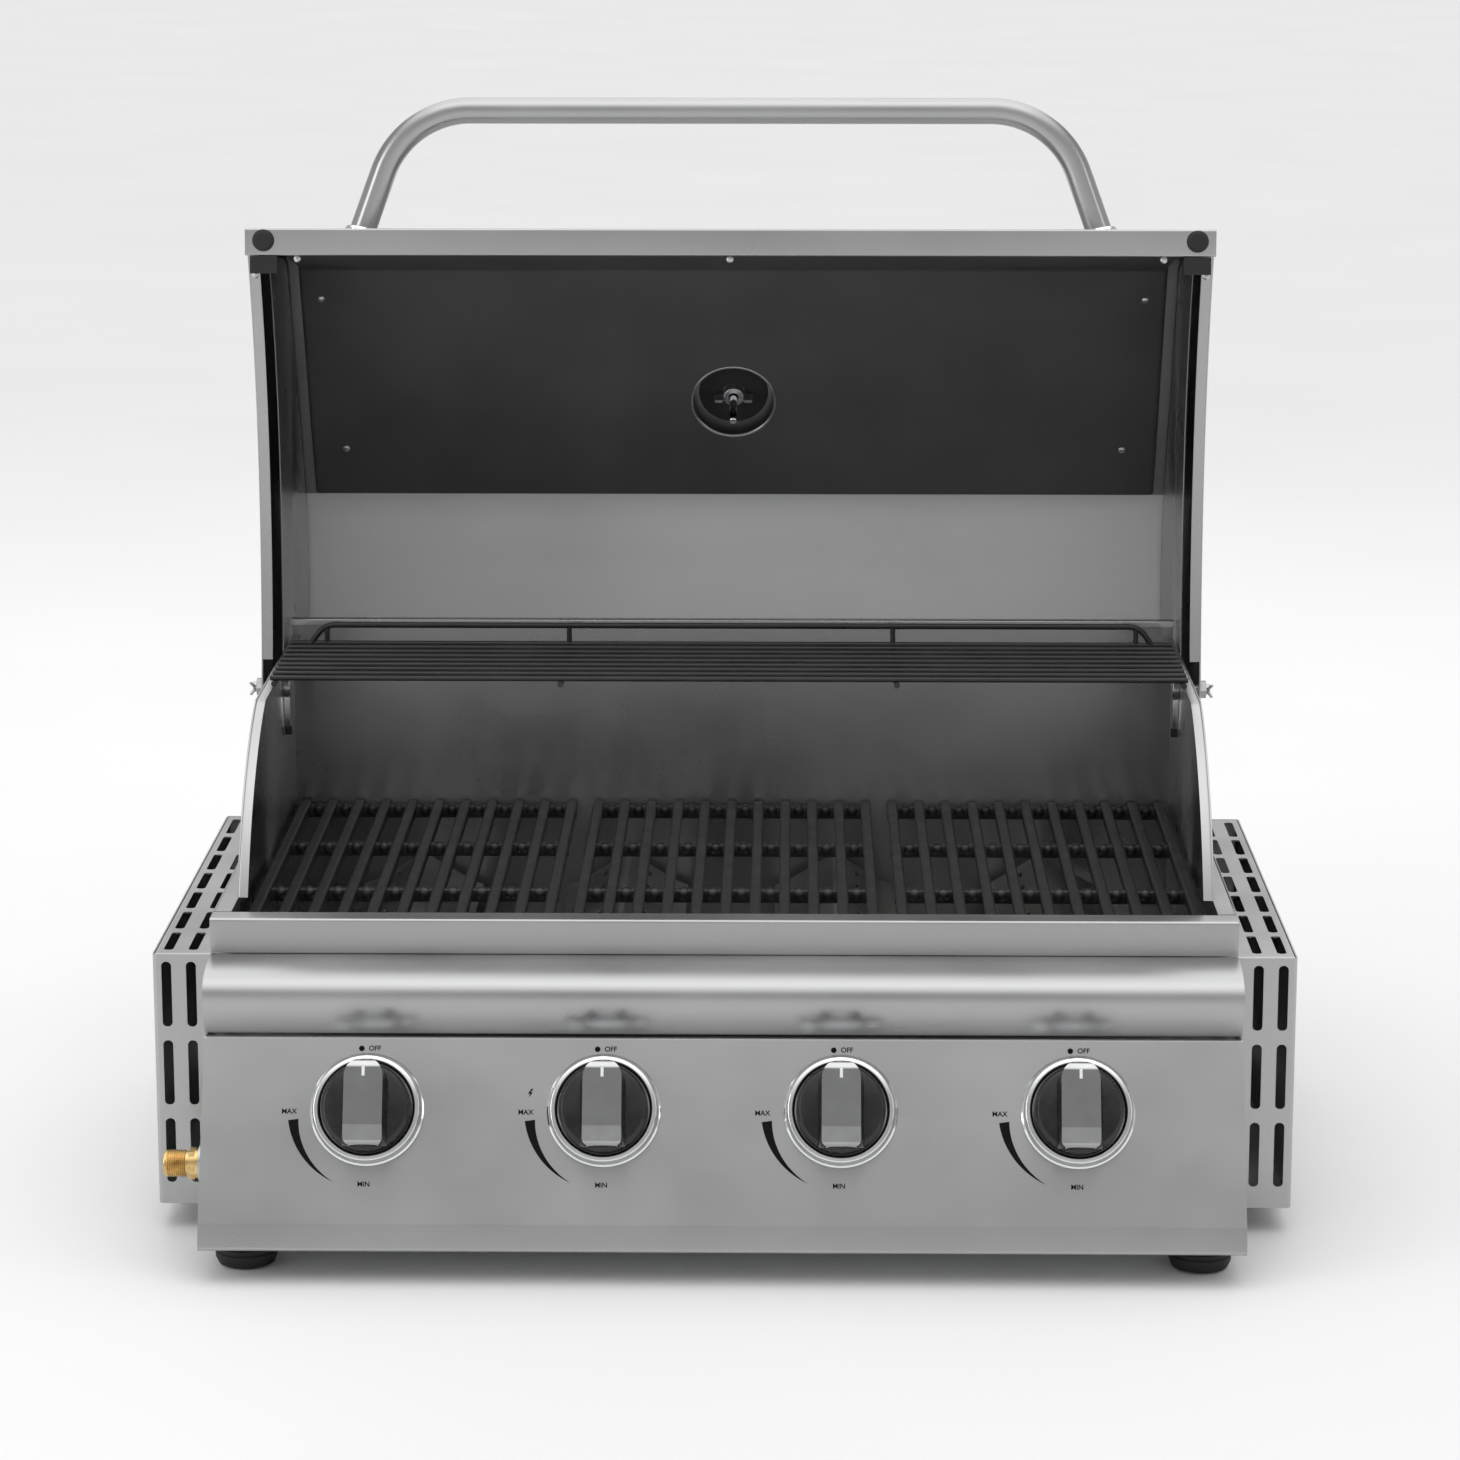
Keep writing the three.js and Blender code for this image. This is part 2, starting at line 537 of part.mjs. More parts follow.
function bumper(side) {
  const { radius, height } = BUMPER;
  const profile = [[0, -height], [radius - 3, -height], [radius, -1], [radius, -GAP], [0, -GAP]];
  return moved(turned(profile, 20), side * BUMPER.x, LIP[0] + 9, LIP[1]);
}

// Bolt through the side plate and the end cap, with its head inside and its nut outside.
function pivotBolt(side) {
  const inner = FIREBOX.half - SHEET - GAP;
  const shank = rodAlongX(PIVOT_BOLT.radius, inner - 2, HOOD_HALF + 7, ...PIVOT, 12);
  const head = rodAlongX(PIVOT_BOLT.head, inner - 5, inner, ...PIVOT, 6);
  const spacer = rodAlongX(PIVOT_BOLT.spacer, FIREBOX.half + GAP, HOOD_HALF - 9, ...PIVOT, 16);
  const nut = rodAlongX(PIVOT_BOLT.head, HOOD_HALF + GAP, HOOD_HALF + 5.5, ...PIVOT, 6);
  return mirrored(join(shank, head, spacer, nut), side);
}

// ---------------------------------------------------------------- assembly
addPart(grill, 'front_rim', frontRim(), 'steel');
addPart(grill, 'shoulder_panel', shoulderPanel(), 'steel');
addPart(grill, 'control_panel', controlPanel(), 'steel');
addPart(grill, 'gas_inlet', gasInlet(), 'brass');
addPart(grill, 'gas_manifold', manifoldPipe(), 'zinc');
KNOB_PLACES.forEach((x, index) => {
  const number = index + 1;
  addPart(grill, `bezel_${number}`, onPanel(bezel(), x), 'chrome');
  addPart(grill, `knob_${number}`, onPanel(knob(), x), 'black');
  addPart(grill, `valve_plug_${number}`, onPanel(valvePlug(), x), 'brass');
  addPart(grill, `valve_body_${number}`, valveBody(x), 'brass');
  addPart(grill, `burner_${number}`, burner(x), 'steel');
  addPart(grill, `flame_tamer_${number}`, flameTamer(x), 'steel');
});

addPart(grill, 'firebox_right_side', fireboxSide(), 'steel');
addPart(grill, 'firebox_left_side', mirrored(fireboxSide(), -1), 'steel');
addPart(grill, 'firebox_back', fireboxBack(), 'steel');
addPart(grill, 'burner_tray', burnerTray(), 'steel');
addPart(grill, 'base_pan', basePan(), 'steel');
addPart(grill, 'drip_tray', dripTray(), 'zinc');
['left', 'middle', 'right'].forEach((place, index) => {
  addPart(grill, `grate_${place}`, grate((index - 1) * GRATE.bars * GRATE.pitch), 'enamel');
});
addPart(grill, 'warming_rack', warmingRack(), 'enamel');
FEET.forEach(({ place, x, y }) => {
  addPart(grill, `foot_${place}_left`, foot(-x, y), 'rubber');
  addPart(grill, `foot_${place}_right`, foot(x, y), 'rubber');
});

[['left', -1], ['right', 1]].forEach(([place, side]) => {
  addPart(grill, `vent_box_${place}`, ventBox(side), 'steel');
  addPart(grill, `pivot_bolt_${place}`, pivotBolt(side), 'zinc');
  addPart(hood, `hood_cap_${place}`, hoodEndCap(side), 'steel');
  addPart(hood, `hood_inner_wall_${place}`, hoodInnerWall(side), 'steel');
  addPart(hood, `handle_collar_${place}`, handleCollar(side), 'steel');
  addPart(hood, `lip_bumper_${place}`, bumper(side), 'rubber');
});
addPart(hood, 'hood_skin', hoodSkin(), 'steel');
addPart(hood, 'hood_liner', hoodLiner(), 'liner');
addPart(hood, 'hood_handle', hoodHandle(), 'steel');
addPart(hood, 'thermometer', thermometer(), 'chrome');
addPart(hood, 'thermometer_nut', thermometerNut(), 'zinc');

// The hood is drawn closed, so it swings back about its pivots to stand open.
const swing = new THREE.Group();
swing.position.set(0, ...PIVOT);
swing.rotation.x = -HOOD_OPEN;
hood.position.set(0, -PIVOT[0], -PIVOT[1]);
swing.add(hood);
grill.add(swing);

// Origin at the middle of the base.
grill.updateMatrixWorld(true);
const extent = new THREE.Box3().setFromObject(grill, true);
grill.position.y = -(extent.min.y + extent.max.y) / 2;

export default grill;
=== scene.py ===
import json
import math

import bmesh
import bpy
from mathutils import Matrix, Vector
from mathutils.geometry import interpolate_bezier


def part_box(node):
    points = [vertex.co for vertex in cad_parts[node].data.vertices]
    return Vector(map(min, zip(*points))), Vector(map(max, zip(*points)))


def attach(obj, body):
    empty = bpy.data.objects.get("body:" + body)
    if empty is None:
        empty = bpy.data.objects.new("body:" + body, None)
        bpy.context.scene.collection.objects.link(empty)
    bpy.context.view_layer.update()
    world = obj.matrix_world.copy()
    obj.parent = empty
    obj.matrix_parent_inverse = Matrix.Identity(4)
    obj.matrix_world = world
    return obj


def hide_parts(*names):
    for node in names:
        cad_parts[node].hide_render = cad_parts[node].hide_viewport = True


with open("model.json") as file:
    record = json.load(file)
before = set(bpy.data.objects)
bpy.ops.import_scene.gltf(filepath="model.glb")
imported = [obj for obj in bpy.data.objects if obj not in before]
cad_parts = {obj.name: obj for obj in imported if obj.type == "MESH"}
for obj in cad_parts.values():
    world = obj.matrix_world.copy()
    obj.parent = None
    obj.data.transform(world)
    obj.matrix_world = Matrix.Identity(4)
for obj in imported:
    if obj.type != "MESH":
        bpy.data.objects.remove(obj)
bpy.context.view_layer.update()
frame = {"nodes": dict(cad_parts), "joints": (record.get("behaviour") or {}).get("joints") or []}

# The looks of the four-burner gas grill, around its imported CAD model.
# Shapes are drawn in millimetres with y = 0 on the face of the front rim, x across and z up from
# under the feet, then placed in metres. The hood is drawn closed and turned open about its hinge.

MM = 0.001
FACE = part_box("front_rim")[0].y
FIXED = Matrix.Translation((0, FACE, 0)) @ Matrix.Scale(MM, 4)
JOINTS = {joint["name"]: joint for joint in frame["joints"]}
PIN = Vector(JOINTS["hood_hinge"]["pos_m"])
HOOD_ANGLE = math.radians(JOINTS["hood_hinge"]["range_deg"][1])
SWING = Matrix.Translation(PIN) @ Matrix.Rotation(-HOOD_ANGLE, 4, "X") @ Matrix.Translation(-PIN)
OPEN = SWING @ FIXED

# ------------------------------------------------------------------ driving dimensions, in mm
SHEET = 1.2
RIM_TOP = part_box("front_rim")[1].z / MM
RIM = {"half": 350, "depth": 20, "foot": RIM_TOP - 24, "hem": 12}
PANEL_PATH = [(-88, 23), (-102, 23), (-97, 41), (-41, 154.8), (-20, 155.6)]
PANEL_BACK = -2
SHOULDER = [(-38, 156.5), (-60, 189.5), (-46, 201.9), (1, 201.5)]
KNOB_COUNT = 4
IGNITION_KNOB = 2
KNOB_RADIUS = 30
BEZEL = {"inner": 31, "outer": 38.4, "height": 9}
INLET = {"radius": 10, "reach": 26, "bore": 5, "y": -62, "z": 72}

FIREBOX = {"half": 338.5, "back": 422, "floor": 62, "top": RIM_TOP + 128}
SIDE_EDGE = [(57, RIM_TOP), (100, RIM_TOP + 82), (184, RIM_TOP + 113)]
SIDE_FOLD = 6.5
GRATE = {"top": RIM_TOP - 15, "front": 27, "back": 416, "pitch": 20.6, "bars": 11}
CROSS_BARS = [31, 153, 288, 410]
RACK = {"front": 232, "back": 362, "wires": 9, "half": 333, "radius": 2.2, "guard": 14, "inner": 122}
TAMER = {"half": 46, "hem": 10, "eaves": 146, "ridge": 172, "front": 36, "back": 408}
BURNER = {"height": 97, "radius": 13, "front": -7, "back": 408}
TRAY = {"half": 230, "front": 60, "back": 436, "bottom": 25.8, "top": 58, "pull": 18}

VENT = {"inner": 338.8, "outer": 392, "front": 14, "back": 419, "bottom": 18, "top": 197}
SLOT = {"length": 46, "width": 6.6, "pitch": 56, "front": 3, "top": 7}
SLOT_ROWS = [9.5, 26.5]
FEET = {"front": (323, -55), "rear": (312, 330)}
FOOT_HEIGHT = 24

HOOD_HALF = 352.5
PIVOT = Vector(((PIN.y - FACE) / MM, PIN.z / MM))
LIP = Vector((6, RIM_TOP + 3))
LIP_RETURN = 20
BROW = {"y": 27, "rounding": 24}
SLOPE_ANGLE = math.radians(31.9)
SLOPE_POINT = Vector((215, RIM_TOP + 282))
CROWN_RADIUS = 120
REAR_EDGE = Vector((415, RIM_TOP + 185))
LINER = {"half": 332, "offset": 12, "back": 3, "foot": (22, RIM_TOP + 16), "hole": 32}
DIAL_Y = 132
HANDLE = {"radius": 9.5, "reach": 85, "base": 268.8, "bend": 69, "height": RIM_TOP + 34, "buried": 9}
HANDLE_SLANT = math.radians(20)
HOOD_LEAN = math.atan2(21, 165)
SIDE_NAME = {-1: "left", 1: "right"}


# ------------------------------------------------------------------ shapes: (points, faces)
def loft(rings, closed=True, caps=True, loop=False):
    """Faces between rings that have the same number of points."""
    size = len(rings[0])
    points = [Vector(point) for ring in rings for point in ring]
    faces = []
    for row in range(len(rings) if loop else len(rings) - 1):
        here = row * size
        there = (row + 1) % len(rings) * size
        for i in range(size if closed else size - 1):
            j = (i + 1) % size
            faces.append((here + i, here + j, there + j, there + i))
    if caps and not loop:
        faces.append(tuple(reversed(range(size))))
        faces.append(tuple(range(len(points) - size, len(points))))
    return points, faces


def join(*shapes):
    points, faces = [], []
    for more_points, more_faces in shapes:
        start = len(points)
        points.extend(more_points)
        faces.extend(tuple(start + i for i in face) for face in more_faces)
    return points, faces


def moved(shape, place):
    if not isinstance(place, Matrix):
        place = Matrix.Translation(place)
    return [place @ point for point in shape[0]], shape[1]


def mirrored(shape, side):
    """Side 1 keeps a right-hand shape; side -1 gives its left-hand twin."""
    if side > 0:
        return shape
    return [Vector((-p.x, p.y, p.z)) for p in shape[0]], [tuple(reversed(face)) for face in shape[1]]


def arc(centre, radius, start, end, steps):
    """Points on a circle between two angles in degrees."""
    angles = [math.radians(start + (end - start) * i / steps) for i in range(steps + 1)]
    return [Vector((centre[0] + radius * math.cos(a), centre[1] + radius * math.sin(a))) for a in angles]


def curve(steps, *controls):
    """Points on a Bezier curve with three or four controls."""
    first, *handles, last = [Vector(point) for point in controls]
    if len(handles) == 1:
        handles = [first.lerp(handles[0], 2 / 3), last.lerp(handles[0], 2 / 3)]
    return [Vector(point) for point in interpolate_bezier(first, *handles, last, steps + 1)]


def rounded(path, *radii, steps=6):
    """The path with its corners turned into arcs. One radius serves every corner."""
    points = [Vector(point) for point in path]
    result = [points[0]]
    for index, corner in enumerate(points[1:-1]):
        before, after = points[index] - corner, points[index + 2] - corner
        radius = radii[index] if len(radii) > 1 else radii[0]
        half = before.angle(after) / 2
        reach = min(radius / math.tan(half), 0.48 * before.length, 0.48 * after.length)
        before.normalize()
        after.normalize()
        centre = corner + (before + after).normalized() * reach / math.cos(half)
        first = corner + before * reach - centre
        total = math.pi - 2 * half
        if before.x * after.y - before.y * after.x > 0:
            total = -total
        for step in range(steps + 1):
            turn = total * step / steps
            cosine, sine = math.cos(turn), math.sin(turn)
            spoke = Vector((first.x * cosine - first.y * sine, first.x * sine + first.y * cosine))
            result.append(centre + spoke)
    result.append(points[-1])
    return result


def closed_round(outline, radius, steps=4):
    """A closed outline with every corner turned into an arc."""
    ring = [Vector(point) for point in outline]
    middle = (ring[0] + ring[-1]) / 2
    return rounded([middle, *ring, middle], radius, steps=steps)[:-1]


def offset(path, distance):
    """The path moved to the right of its direction, with mitred corners."""
    result = []
    for index, point in enumerate(path):
        ahead = path[index + 1] - point if index + 1 < len(path) else point - path[index - 1]
        behind = point - path[index - 1] if index else ahead
        ahead, behind = ahead.normalized(), behind.normalized()
        normal = Vector((behind.y + ahead.y, -behind.x - ahead.x)).normalized()
        result.append(point + normal * distance / (normal.x * behind.y - normal.y * behind.x))
    return result


def along_x(outline, start, end):
    """An outline of (y, z) points carried from one x to another."""
    return loft([[(x, y, z) for y, z in outline] for x in (start, end)])


def along_y(outline, start, end):
    """An outline of (x, z) points carried from one y to another."""
    return loft([[(x, y, z) for x, z in outline] for y in (start, end)])


def along_z(outline, start, end):
    """An outline of (x, y) points carried from one height to another."""
    return loft([[(x, y, z) for x, y in outline] for z in (start, end)])


def folded(path, start, end, thickness=SHEET):
    """A sheet across x whose outer face follows a path of (y, z) points."""
    path = [Vector(point) for point in path]
    return along_x([*path, *reversed(offset(path, thickness))], start, end)


def box(low, high):
    return along_z([(low[0], low[1]), (high[0], low[1]), (high[0], high[1]), (low[0], high[1])],
                   low[2], high[2])


def lathe(profile, segments=48, loop=False):
    """A turned shape about the z axis, from (radius, height) points."""
    rings = []
    for radius, height in profile:
        circle = arc((0, 0), radius, 0, 360 - 360 / segments, segments - 1)
        rings.append([(point.x, point.y, height) for point in circle])
    return loft(rings, loop=loop)


def tube(path, radius, segments=16):
    """A round bar along points in space."""
    points = [Vector(point) for point in path]
    side = None
    rings = []
    for index, point in enumerate(points):
        ahead = points[min(index + 1, len(points) - 1)] - points[max(index - 1, 0)]
        ahead.normalize()
        if side is None:
            side = ahead.orthogonal().normalized()
        side = (side - ahead * side.dot(ahead)).normalized()
        up = ahead.cross(side)
        circle = arc((0, 0), radius, 0, 360 - 360 / segments, segments - 1)
        rings.append([point + side * p.x + up * p.y for p in circle])
    return loft(rings)


def facing(direction):
    """Turns z to a direction."""
    return Vector(direction).to_track_quat("Z", "Y").to_matrix().to_4x4()


def to_mesh(shape):
    """A clean mesh of a shape: doubled points merged and faces turned outwards."""
    build = bmesh.new()
    corners = [build.verts.new(point) for point in shape[0]]
    for face in shape[1]:
        build.faces.new([corners[i] for i in face])
    bmesh.ops.remove_doubles(build, verts=build.verts, dist=1e-4)
    bmesh.ops.dissolve_degenerate(build, dist=1e-5, edges=build.edges)
    bmesh.ops.recalc_face_normals(build, faces=build.faces)
    mesh = bpy.data.meshes.new("shape")
    build.to_mesh(mesh)
    build.free()
    return mesh


def from_mesh(mesh):
    points = [vertex.co.copy() for vertex in mesh.vertices]
    return points, [tuple(polygon.vertices) for polygon in mesh.polygons]


def combine(shape, other, operation):
    """One shape cut by or kept inside another, by a Boolean modifier that is applied at once."""
    objects = []
    for part in (shape, other):
        holder = bpy.data.objects.new("scratch", to_mesh(part))
        bpy.context.scene.collection.objects.link(holder)
        objects.append(holder)
    modifier = objects[0].modifiers.new("combine", "BOOLEAN")
    modifier.object = objects[1]
    modifier.operation = operation
    modifier.solver = "EXACT"
    result = objects[0].evaluated_get(bpy.context.evaluated_depsgraph_get())
    made = from_mesh(result.to_mesh())
    for holder in objects:
        mesh = holder.data
        bpy.data.objects.remove(holder)
        bpy.data.meshes.remove(mesh)
    return made


def cut(shape, *tools):
    return combine(shape, join(*tools), "DIFFERENCE")


# ------------------------------------------------------------------ materials
BRUSHED = 0.75                   # anisotropy of the brushed sheets


def new_material(name, colour, metallic, roughness):
    material = bpy.data.materials.new(name)
    material.use_nodes = True
    shader = material.node_tree.nodes["Principled BSDF"]
    shader.inputs["Base Color"].default_value = (*colour, 1)
    shader.inputs["Metallic"].default_value = metallic
    shader.inputs["Roughness"].default_value = roughness
    return material, material.node_tree, shader


def add_node(tree, kind, **inputs):
    node = tree.nodes.new("ShaderNode" + kind)
    for name, value in inputs.items():
        socket = node.inputs[name.replace("_", " ")]
        if isinstance(value, bpy.types.NodeSocket):
            tree.links.new(value, socket)
        else:
            socket.default_value = value
    return node


def noise(tree, stretch, detail=3.0):
    """Noise with its own number of cells per metre along x, y and z."""
    where = add_node(tree, "TexCoord").outputs["Object"]
    mapping = add_node(tree, "Mapping", Vector=where, Scale=stretch)
    cells = add_node(tree, "TexNoise", Vector=mapping.outputs["Vector"], Scale=1.0, Detail=detail)
    return cells.outputs["Fac"]


def spread(tree, value, low, high):
    """Noise turned into a value between two limits."""
    node = add_node(tree, "MapRange", Value=value, From_Min=0.3, From_Max=0.7, To_Min=low, To_Max=high)
    return node.outputs["Result"]


def tones(tree, value, *colours):
    """Noise turned into colours spaced evenly between its usual limits."""
    ramp = add_node(tree, "ValToRGB", Fac=value)
    stops = ramp.color_ramp.elements
    while len(stops) < len(colours):
        stops.new(0.5)
    for index, colour in enumerate(colours):
        stops[index].position = 0.3 + 0.4 * index / (len(colours) - 1)
        stops[index].color = (*colour, 1)
    return ramp.outputs["Color"]


def patina(tree, shader, pattern, roughness, *colours):
    """One noise that moves the roughness between two limits and runs through the colours."""
    tree.links.new(spread(tree, pattern, *roughness), shader.inputs["Roughness"])
    tree.links.new(tones(tree, pattern, *colours), shader.inputs["Base Color"])


def relief(tree, shader, *layers):
    """Bumps from (height, depth in metres) layers, one over the other."""
    normal = None
    for height, depth in layers:
        node = add_node(tree, "Bump", Height=height, Distance=depth)
        if normal is not None:
            tree.links.new(normal, node.inputs["Normal"])
        normal = node.outputs["Normal"]
    tree.links.new(normal, shader.inputs["Normal"])


def sheet_steel(name, tone, roughness, wave, metallic=1.0):
    """Stainless sheet brushed along x, so that reflections smear up and down, with slight waves."""
    material, tree, shader = new_material(name, (tone,) * 3, metallic, roughness)
    shader.inputs["Anisotropic"].default_value = BRUSHED
    around = add_node(tree, "Tangent")
    around.direction_type = "RADIAL"
    around.axis = "X"
    tree.links.new(around.outputs["Tangent"], shader.inputs["Tangent"])
    marks = noise(tree, (9, 13, 13), 4)
    waves = noise(tree, (3.5, 6, 6), 1)
    shades = [(tone * k, tone * k * 1.004, tone * k * 1.01) for k in (0.95, 1.0, 1.04)]
    patina(tree, shader, marks, (roughness - 0.03, roughness + 0.04), *shades)
    relief(tree, shader, (waves, wave))
    return material


def chrome(name, tone):
    """Polished plate with faint smudges."""
    material, tree, shader = new_material(name, (tone, tone, tone * 1.02), 1.0, 0.08)
    smudges = noise(tree, (60, 60, 60), 3)
    shades = [(tone * k, tone * k * 1.01, tone * k * 1.02) for k in (0.95, 1.04)]
    patina(tree, shader, smudges, (0.05, 0.13), *shades)
    relief(tree, shader, (noise(tree, (150, 150, 150), 2), 0.00001))
    return material


def gloss_black():
    material, tree, shader = new_material("gloss_black", (0.012, 0.012, 0.013), 0.0, 0.25)
    grain = noise(tree, (900, 900, 900), 2)
    smudges = noise(tree, (70, 70, 70), 4)
    patina(tree, shader, smudges, (0.2, 0.34), (0.009, 0.009, 0.01), (0.017, 0.017, 0.018))
    relief(tree, shader, (grain, 0.00002))
    return material


def printed_black():
    material, tree, shader = new_material("printed_black", (0.006, 0.006, 0.006), 0.0, 0.8)
    shader.inputs["Specular IOR Level"].default_value = 0.1
    grain = noise(tree, (1500, 1500, 1500), 2)
    patina(tree, shader, grain, (0.7, 0.9), (0.004, 0.004, 0.004), (0.009, 0.009, 0.009))
    return material


def white_enamel():
    material, tree, shader = new_material("white_enamel", (0.85, 0.85, 0.83), 0.0, 0.35)
    grain = noise(tree, (400, 400, 400), 3)
    patina(tree, shader, grain, (0.3, 0.42), (0.82, 0.82, 0.8), (0.88, 0.88, 0.87))
    return material


def brass():
    material, tree, shader = new_material("brass", (0.72, 0.5, 0.2), 1.0, 0.3)
    turning = noise(tree, (2500, 60, 60), 2)
    stains = noise(tree, (90, 90, 90), 4)
    patina(tree, shader, stains, (0.2, 0.42), (0.5, 0.33, 0.13), (0.74, 0.52, 0.22), (0.82, 0.62, 0.3))
    relief(tree, shader, (turning, 0.00003))
    return material


def heated_steel():
    """Thin stainless sheet over the flames, with straw and grey heat marks."""
    material, tree, shader = new_material("heated_steel", (0.7, 0.69, 0.67), 1.0, 0.34)
    patches = noise(tree, (14, 9, 14), 4)
    waves = noise(tree, (40, 14, 40), 2)
    patina(tree, shader, patches, (0.28, 0.46),
           (0.56, 0.55, 0.53), (0.74, 0.73, 0.71), (0.82, 0.81, 0.79))
    relief(tree, shader, (waves, 0.0006))
    return material


def zinc():
    """Zinc plate with its faint grains and a dusty spread of tones."""
    material, tree, shader = new_material("zinc", (0.55, 0.56, 0.57), 1.0, 0.36)
    grains = noise(tree, (260, 260, 260), 4)
    patina(tree, shader, grains, (0.28, 0.48), (0.44, 0.45, 0.46), (0.62, 0.63, 0.64))
    relief(tree, shader, (grains, 0.00003))
    return material


def enamel():
    """Satin black enamel over castings, with its orange-peel grain."""
    material, tree, shader = new_material("enamel", (0.02, 0.02, 0.02), 0.0, 0.38)
    peel = noise(tree, (420, 420, 420), 3)
    patches = noise(tree, (30, 30, 30), 3)
    patina(tree, shader, patches, (0.3, 0.46), (0.014, 0.014, 0.014), (0.028, 0.028, 0.027))
    relief(tree, shader, (peel, 0.00012))
    return material


def rubber():
    material, tree, shader = new_material("rubber", (0.012, 0.012, 0.012), 0.0, 0.7)
    grain = noise(tree, (700, 700, 700), 3)
    patina(tree, shader, grain, (0.6, 0.8), (0.009, 0.009, 0.009), (0.018, 0.018, 0.018))
    relief(tree, shader, (grain, 0.00004))
    return material


def dark_liner():
    """Dark satin sheet inside the hood, a little uneven from rolling."""
    material, tree, shader = new_material("dark_liner", (0.08, 0.08, 0.081), 0.35, 0.5)
    patches = noise(tree, (8, 8, 8), 4)
    grain = noise(tree, (300, 300, 300), 3)
    patina(tree, shader, patches, (0.42, 0.56), (0.068, 0.068, 0.068), (0.095, 0.095, 0.096))
    relief(tree, shader, (noise(tree, (3, 5, 5), 1), 0.002), (grain, 0.00003))
    return material


# Each finish: its material and the record's slot that it belongs to. The rear band is paler and less
# metallic than real steel, to stand for a bright reflection, and the dark chrome is for the knobs' grips.
FINISHES = {
    "steel": (sheet_steel("steel", 0.44, 0.3, 0.001), "brushed_steel"),
    "inner_steel": (sheet_steel("inner_steel", 0.42, 0.28, 0.0016), "brushed_steel"),
    "rear_band": (sheet_steel("rear_band", 0.94, 0.5, 0.0006, 0.4), "brushed_steel"),
    "chrome": (chrome("chrome", 0.8), "chrome"),
    "dark_chrome": (chrome("dark_chrome", 0.42), "chrome"),
    "knob_black": (gloss_black(), "knob_black"),
    "print": (printed_black(), "black_enamel"),
    "white": (white_enamel(), "chrome"),
    "brass": (brass(), "brass"),
    "burner": (heated_steel(), "burner_steel"),
    "zinc": (zinc(), "zinc_steel"),
    "enamel": (enamel(), "black_enamel"),
    "rubber": (rubber(), "black_rubber"),
    "liner": (dark_liner(), "dark_liner"),
}


# ------------------------------------------------------------------ pieces
def soften(obj, width, sharp=35):
    """Smooth shading with crisp edges, each with a small bevel."""
    for polygon in obj.data.polygons:
        polygon.use_smooth = True
    obj.data.set_sharp_from_angle(angle=math.radians(sharp))
    if width:
        bevel = obj.modifiers.new("edges", "BEVEL")
        bevel.width = width * MM
        bevel.segments = 2
        bevel.limit_method = "ANGLE"
        bevel.angle_limit = math.radians(sharp)
        bevel.harden_normals = True


def piece(name, shape, finish, body="root", stands_for=(), place=FIXED, bevel=0.25):
    """A finished object of a shape, which rides on a body and may stand for CAD nodes."""
    mesh = to_mesh(shape)
    mesh.transform(place)
    material, slot = FINISHES[finish]
    mesh.materials.append(material)
    obj = bpy.data.objects.new(name, mesh)
    bpy.context.scene.collection.objects.link(obj)
    soften(obj, bevel)
    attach(obj, body)
    if stands_for:
        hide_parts(*stands_for)
    return obj


def carry_over(node, finish, bevel=0.3):
    """A CAD node that stays, with softened edges and a finish."""
    obj = frame["nodes"][node]
    material, slot = FINISHES[finish]
    obj.data.materials.clear()
    obj.data.materials.append(material)
    weld = obj.modifiers.new("weld", "WELD")
    weld.merge_threshold = 0.01 * MM
    flat = obj.modifiers.new("flat", "DECIMATE")
    flat.decimate_type = "DISSOLVE"
    flat.angle_limit = math.radians(1)
    soften(obj, bevel)


def channel(path, end_corners, *radii):
    """A folded sheet across the front, with an end plate let in at each end."""
    inset = SHEET / 2
    half = RIM["half"]
    corners = [Vector(point) for point in end_corners]
    ring = offset([corners[-1], *corners, corners[0]], inset)[1:-1]
    end = along_x(rounded([*ring, ring[0]], 2), half - inset - SHEET, half - inset)
    sheet = folded(rounded(path, *radii), -half, half)
    return join(sheet, end, mirrored(end, -1))


def screw_head(radius, height=None):
    """A domed head with a cross recess, on the plane z = 0."""
    height = height or radius * 0.55
    quarter = [math.radians(angle) for angle in range(0, 91, 15)]
    dome = [(radius * math.cos(a), height * math.sin(a)) for a in quarter]
    head = lathe([(0, -0.5), (radius, -0.5), *dome[:-1], (0, height)], 24)
    long, thin = radius * 0.5, radius * 0.13
    cross = join(box((-long, -thin, height * 0.45), (long, thin, height + 1)),
                 box((-thin, -long, height * 0.45), (thin, long, height + 1)))
    return cut(head, cross)


# ------------------------------------------------------------------ front: rim, shoulder, panel
def front_rim():
    crest = [(0, RIM["foot"]), (0, RIM_TOP), (RIM["depth"], RIM_TOP)]
    hem, foot = (RIM["depth"], RIM_TOP - RIM["hem"]), (RIM["depth"], RIM["foot"])
    shape = channel([*crest, hem], [*crest, foot], 2.2)
    piece("rim_sheet", shape, "steel", stands_for=["front_rim"])


def shoulder():
    foot, top = SHOULDER[0], SHOULDER[-1]
    path = curve(40, *SHOULDER)
    inset = SHEET / 2
    half = RIM["half"]
    ring = offset([Vector((top[0], foot[1])), *path, Vector((top[0], foot[1]))], inset)[1:-1]
    end = along_x([*ring, Vector((top[0] - inset, foot[1] + inset))], half - inset - SHEET, half - inset)
    shape = join(folded(path, -half, half), end, mirrored(end, -1))
    piece("shoulder_sheet", shape, "steel", stands_for=["shoulder_panel"])


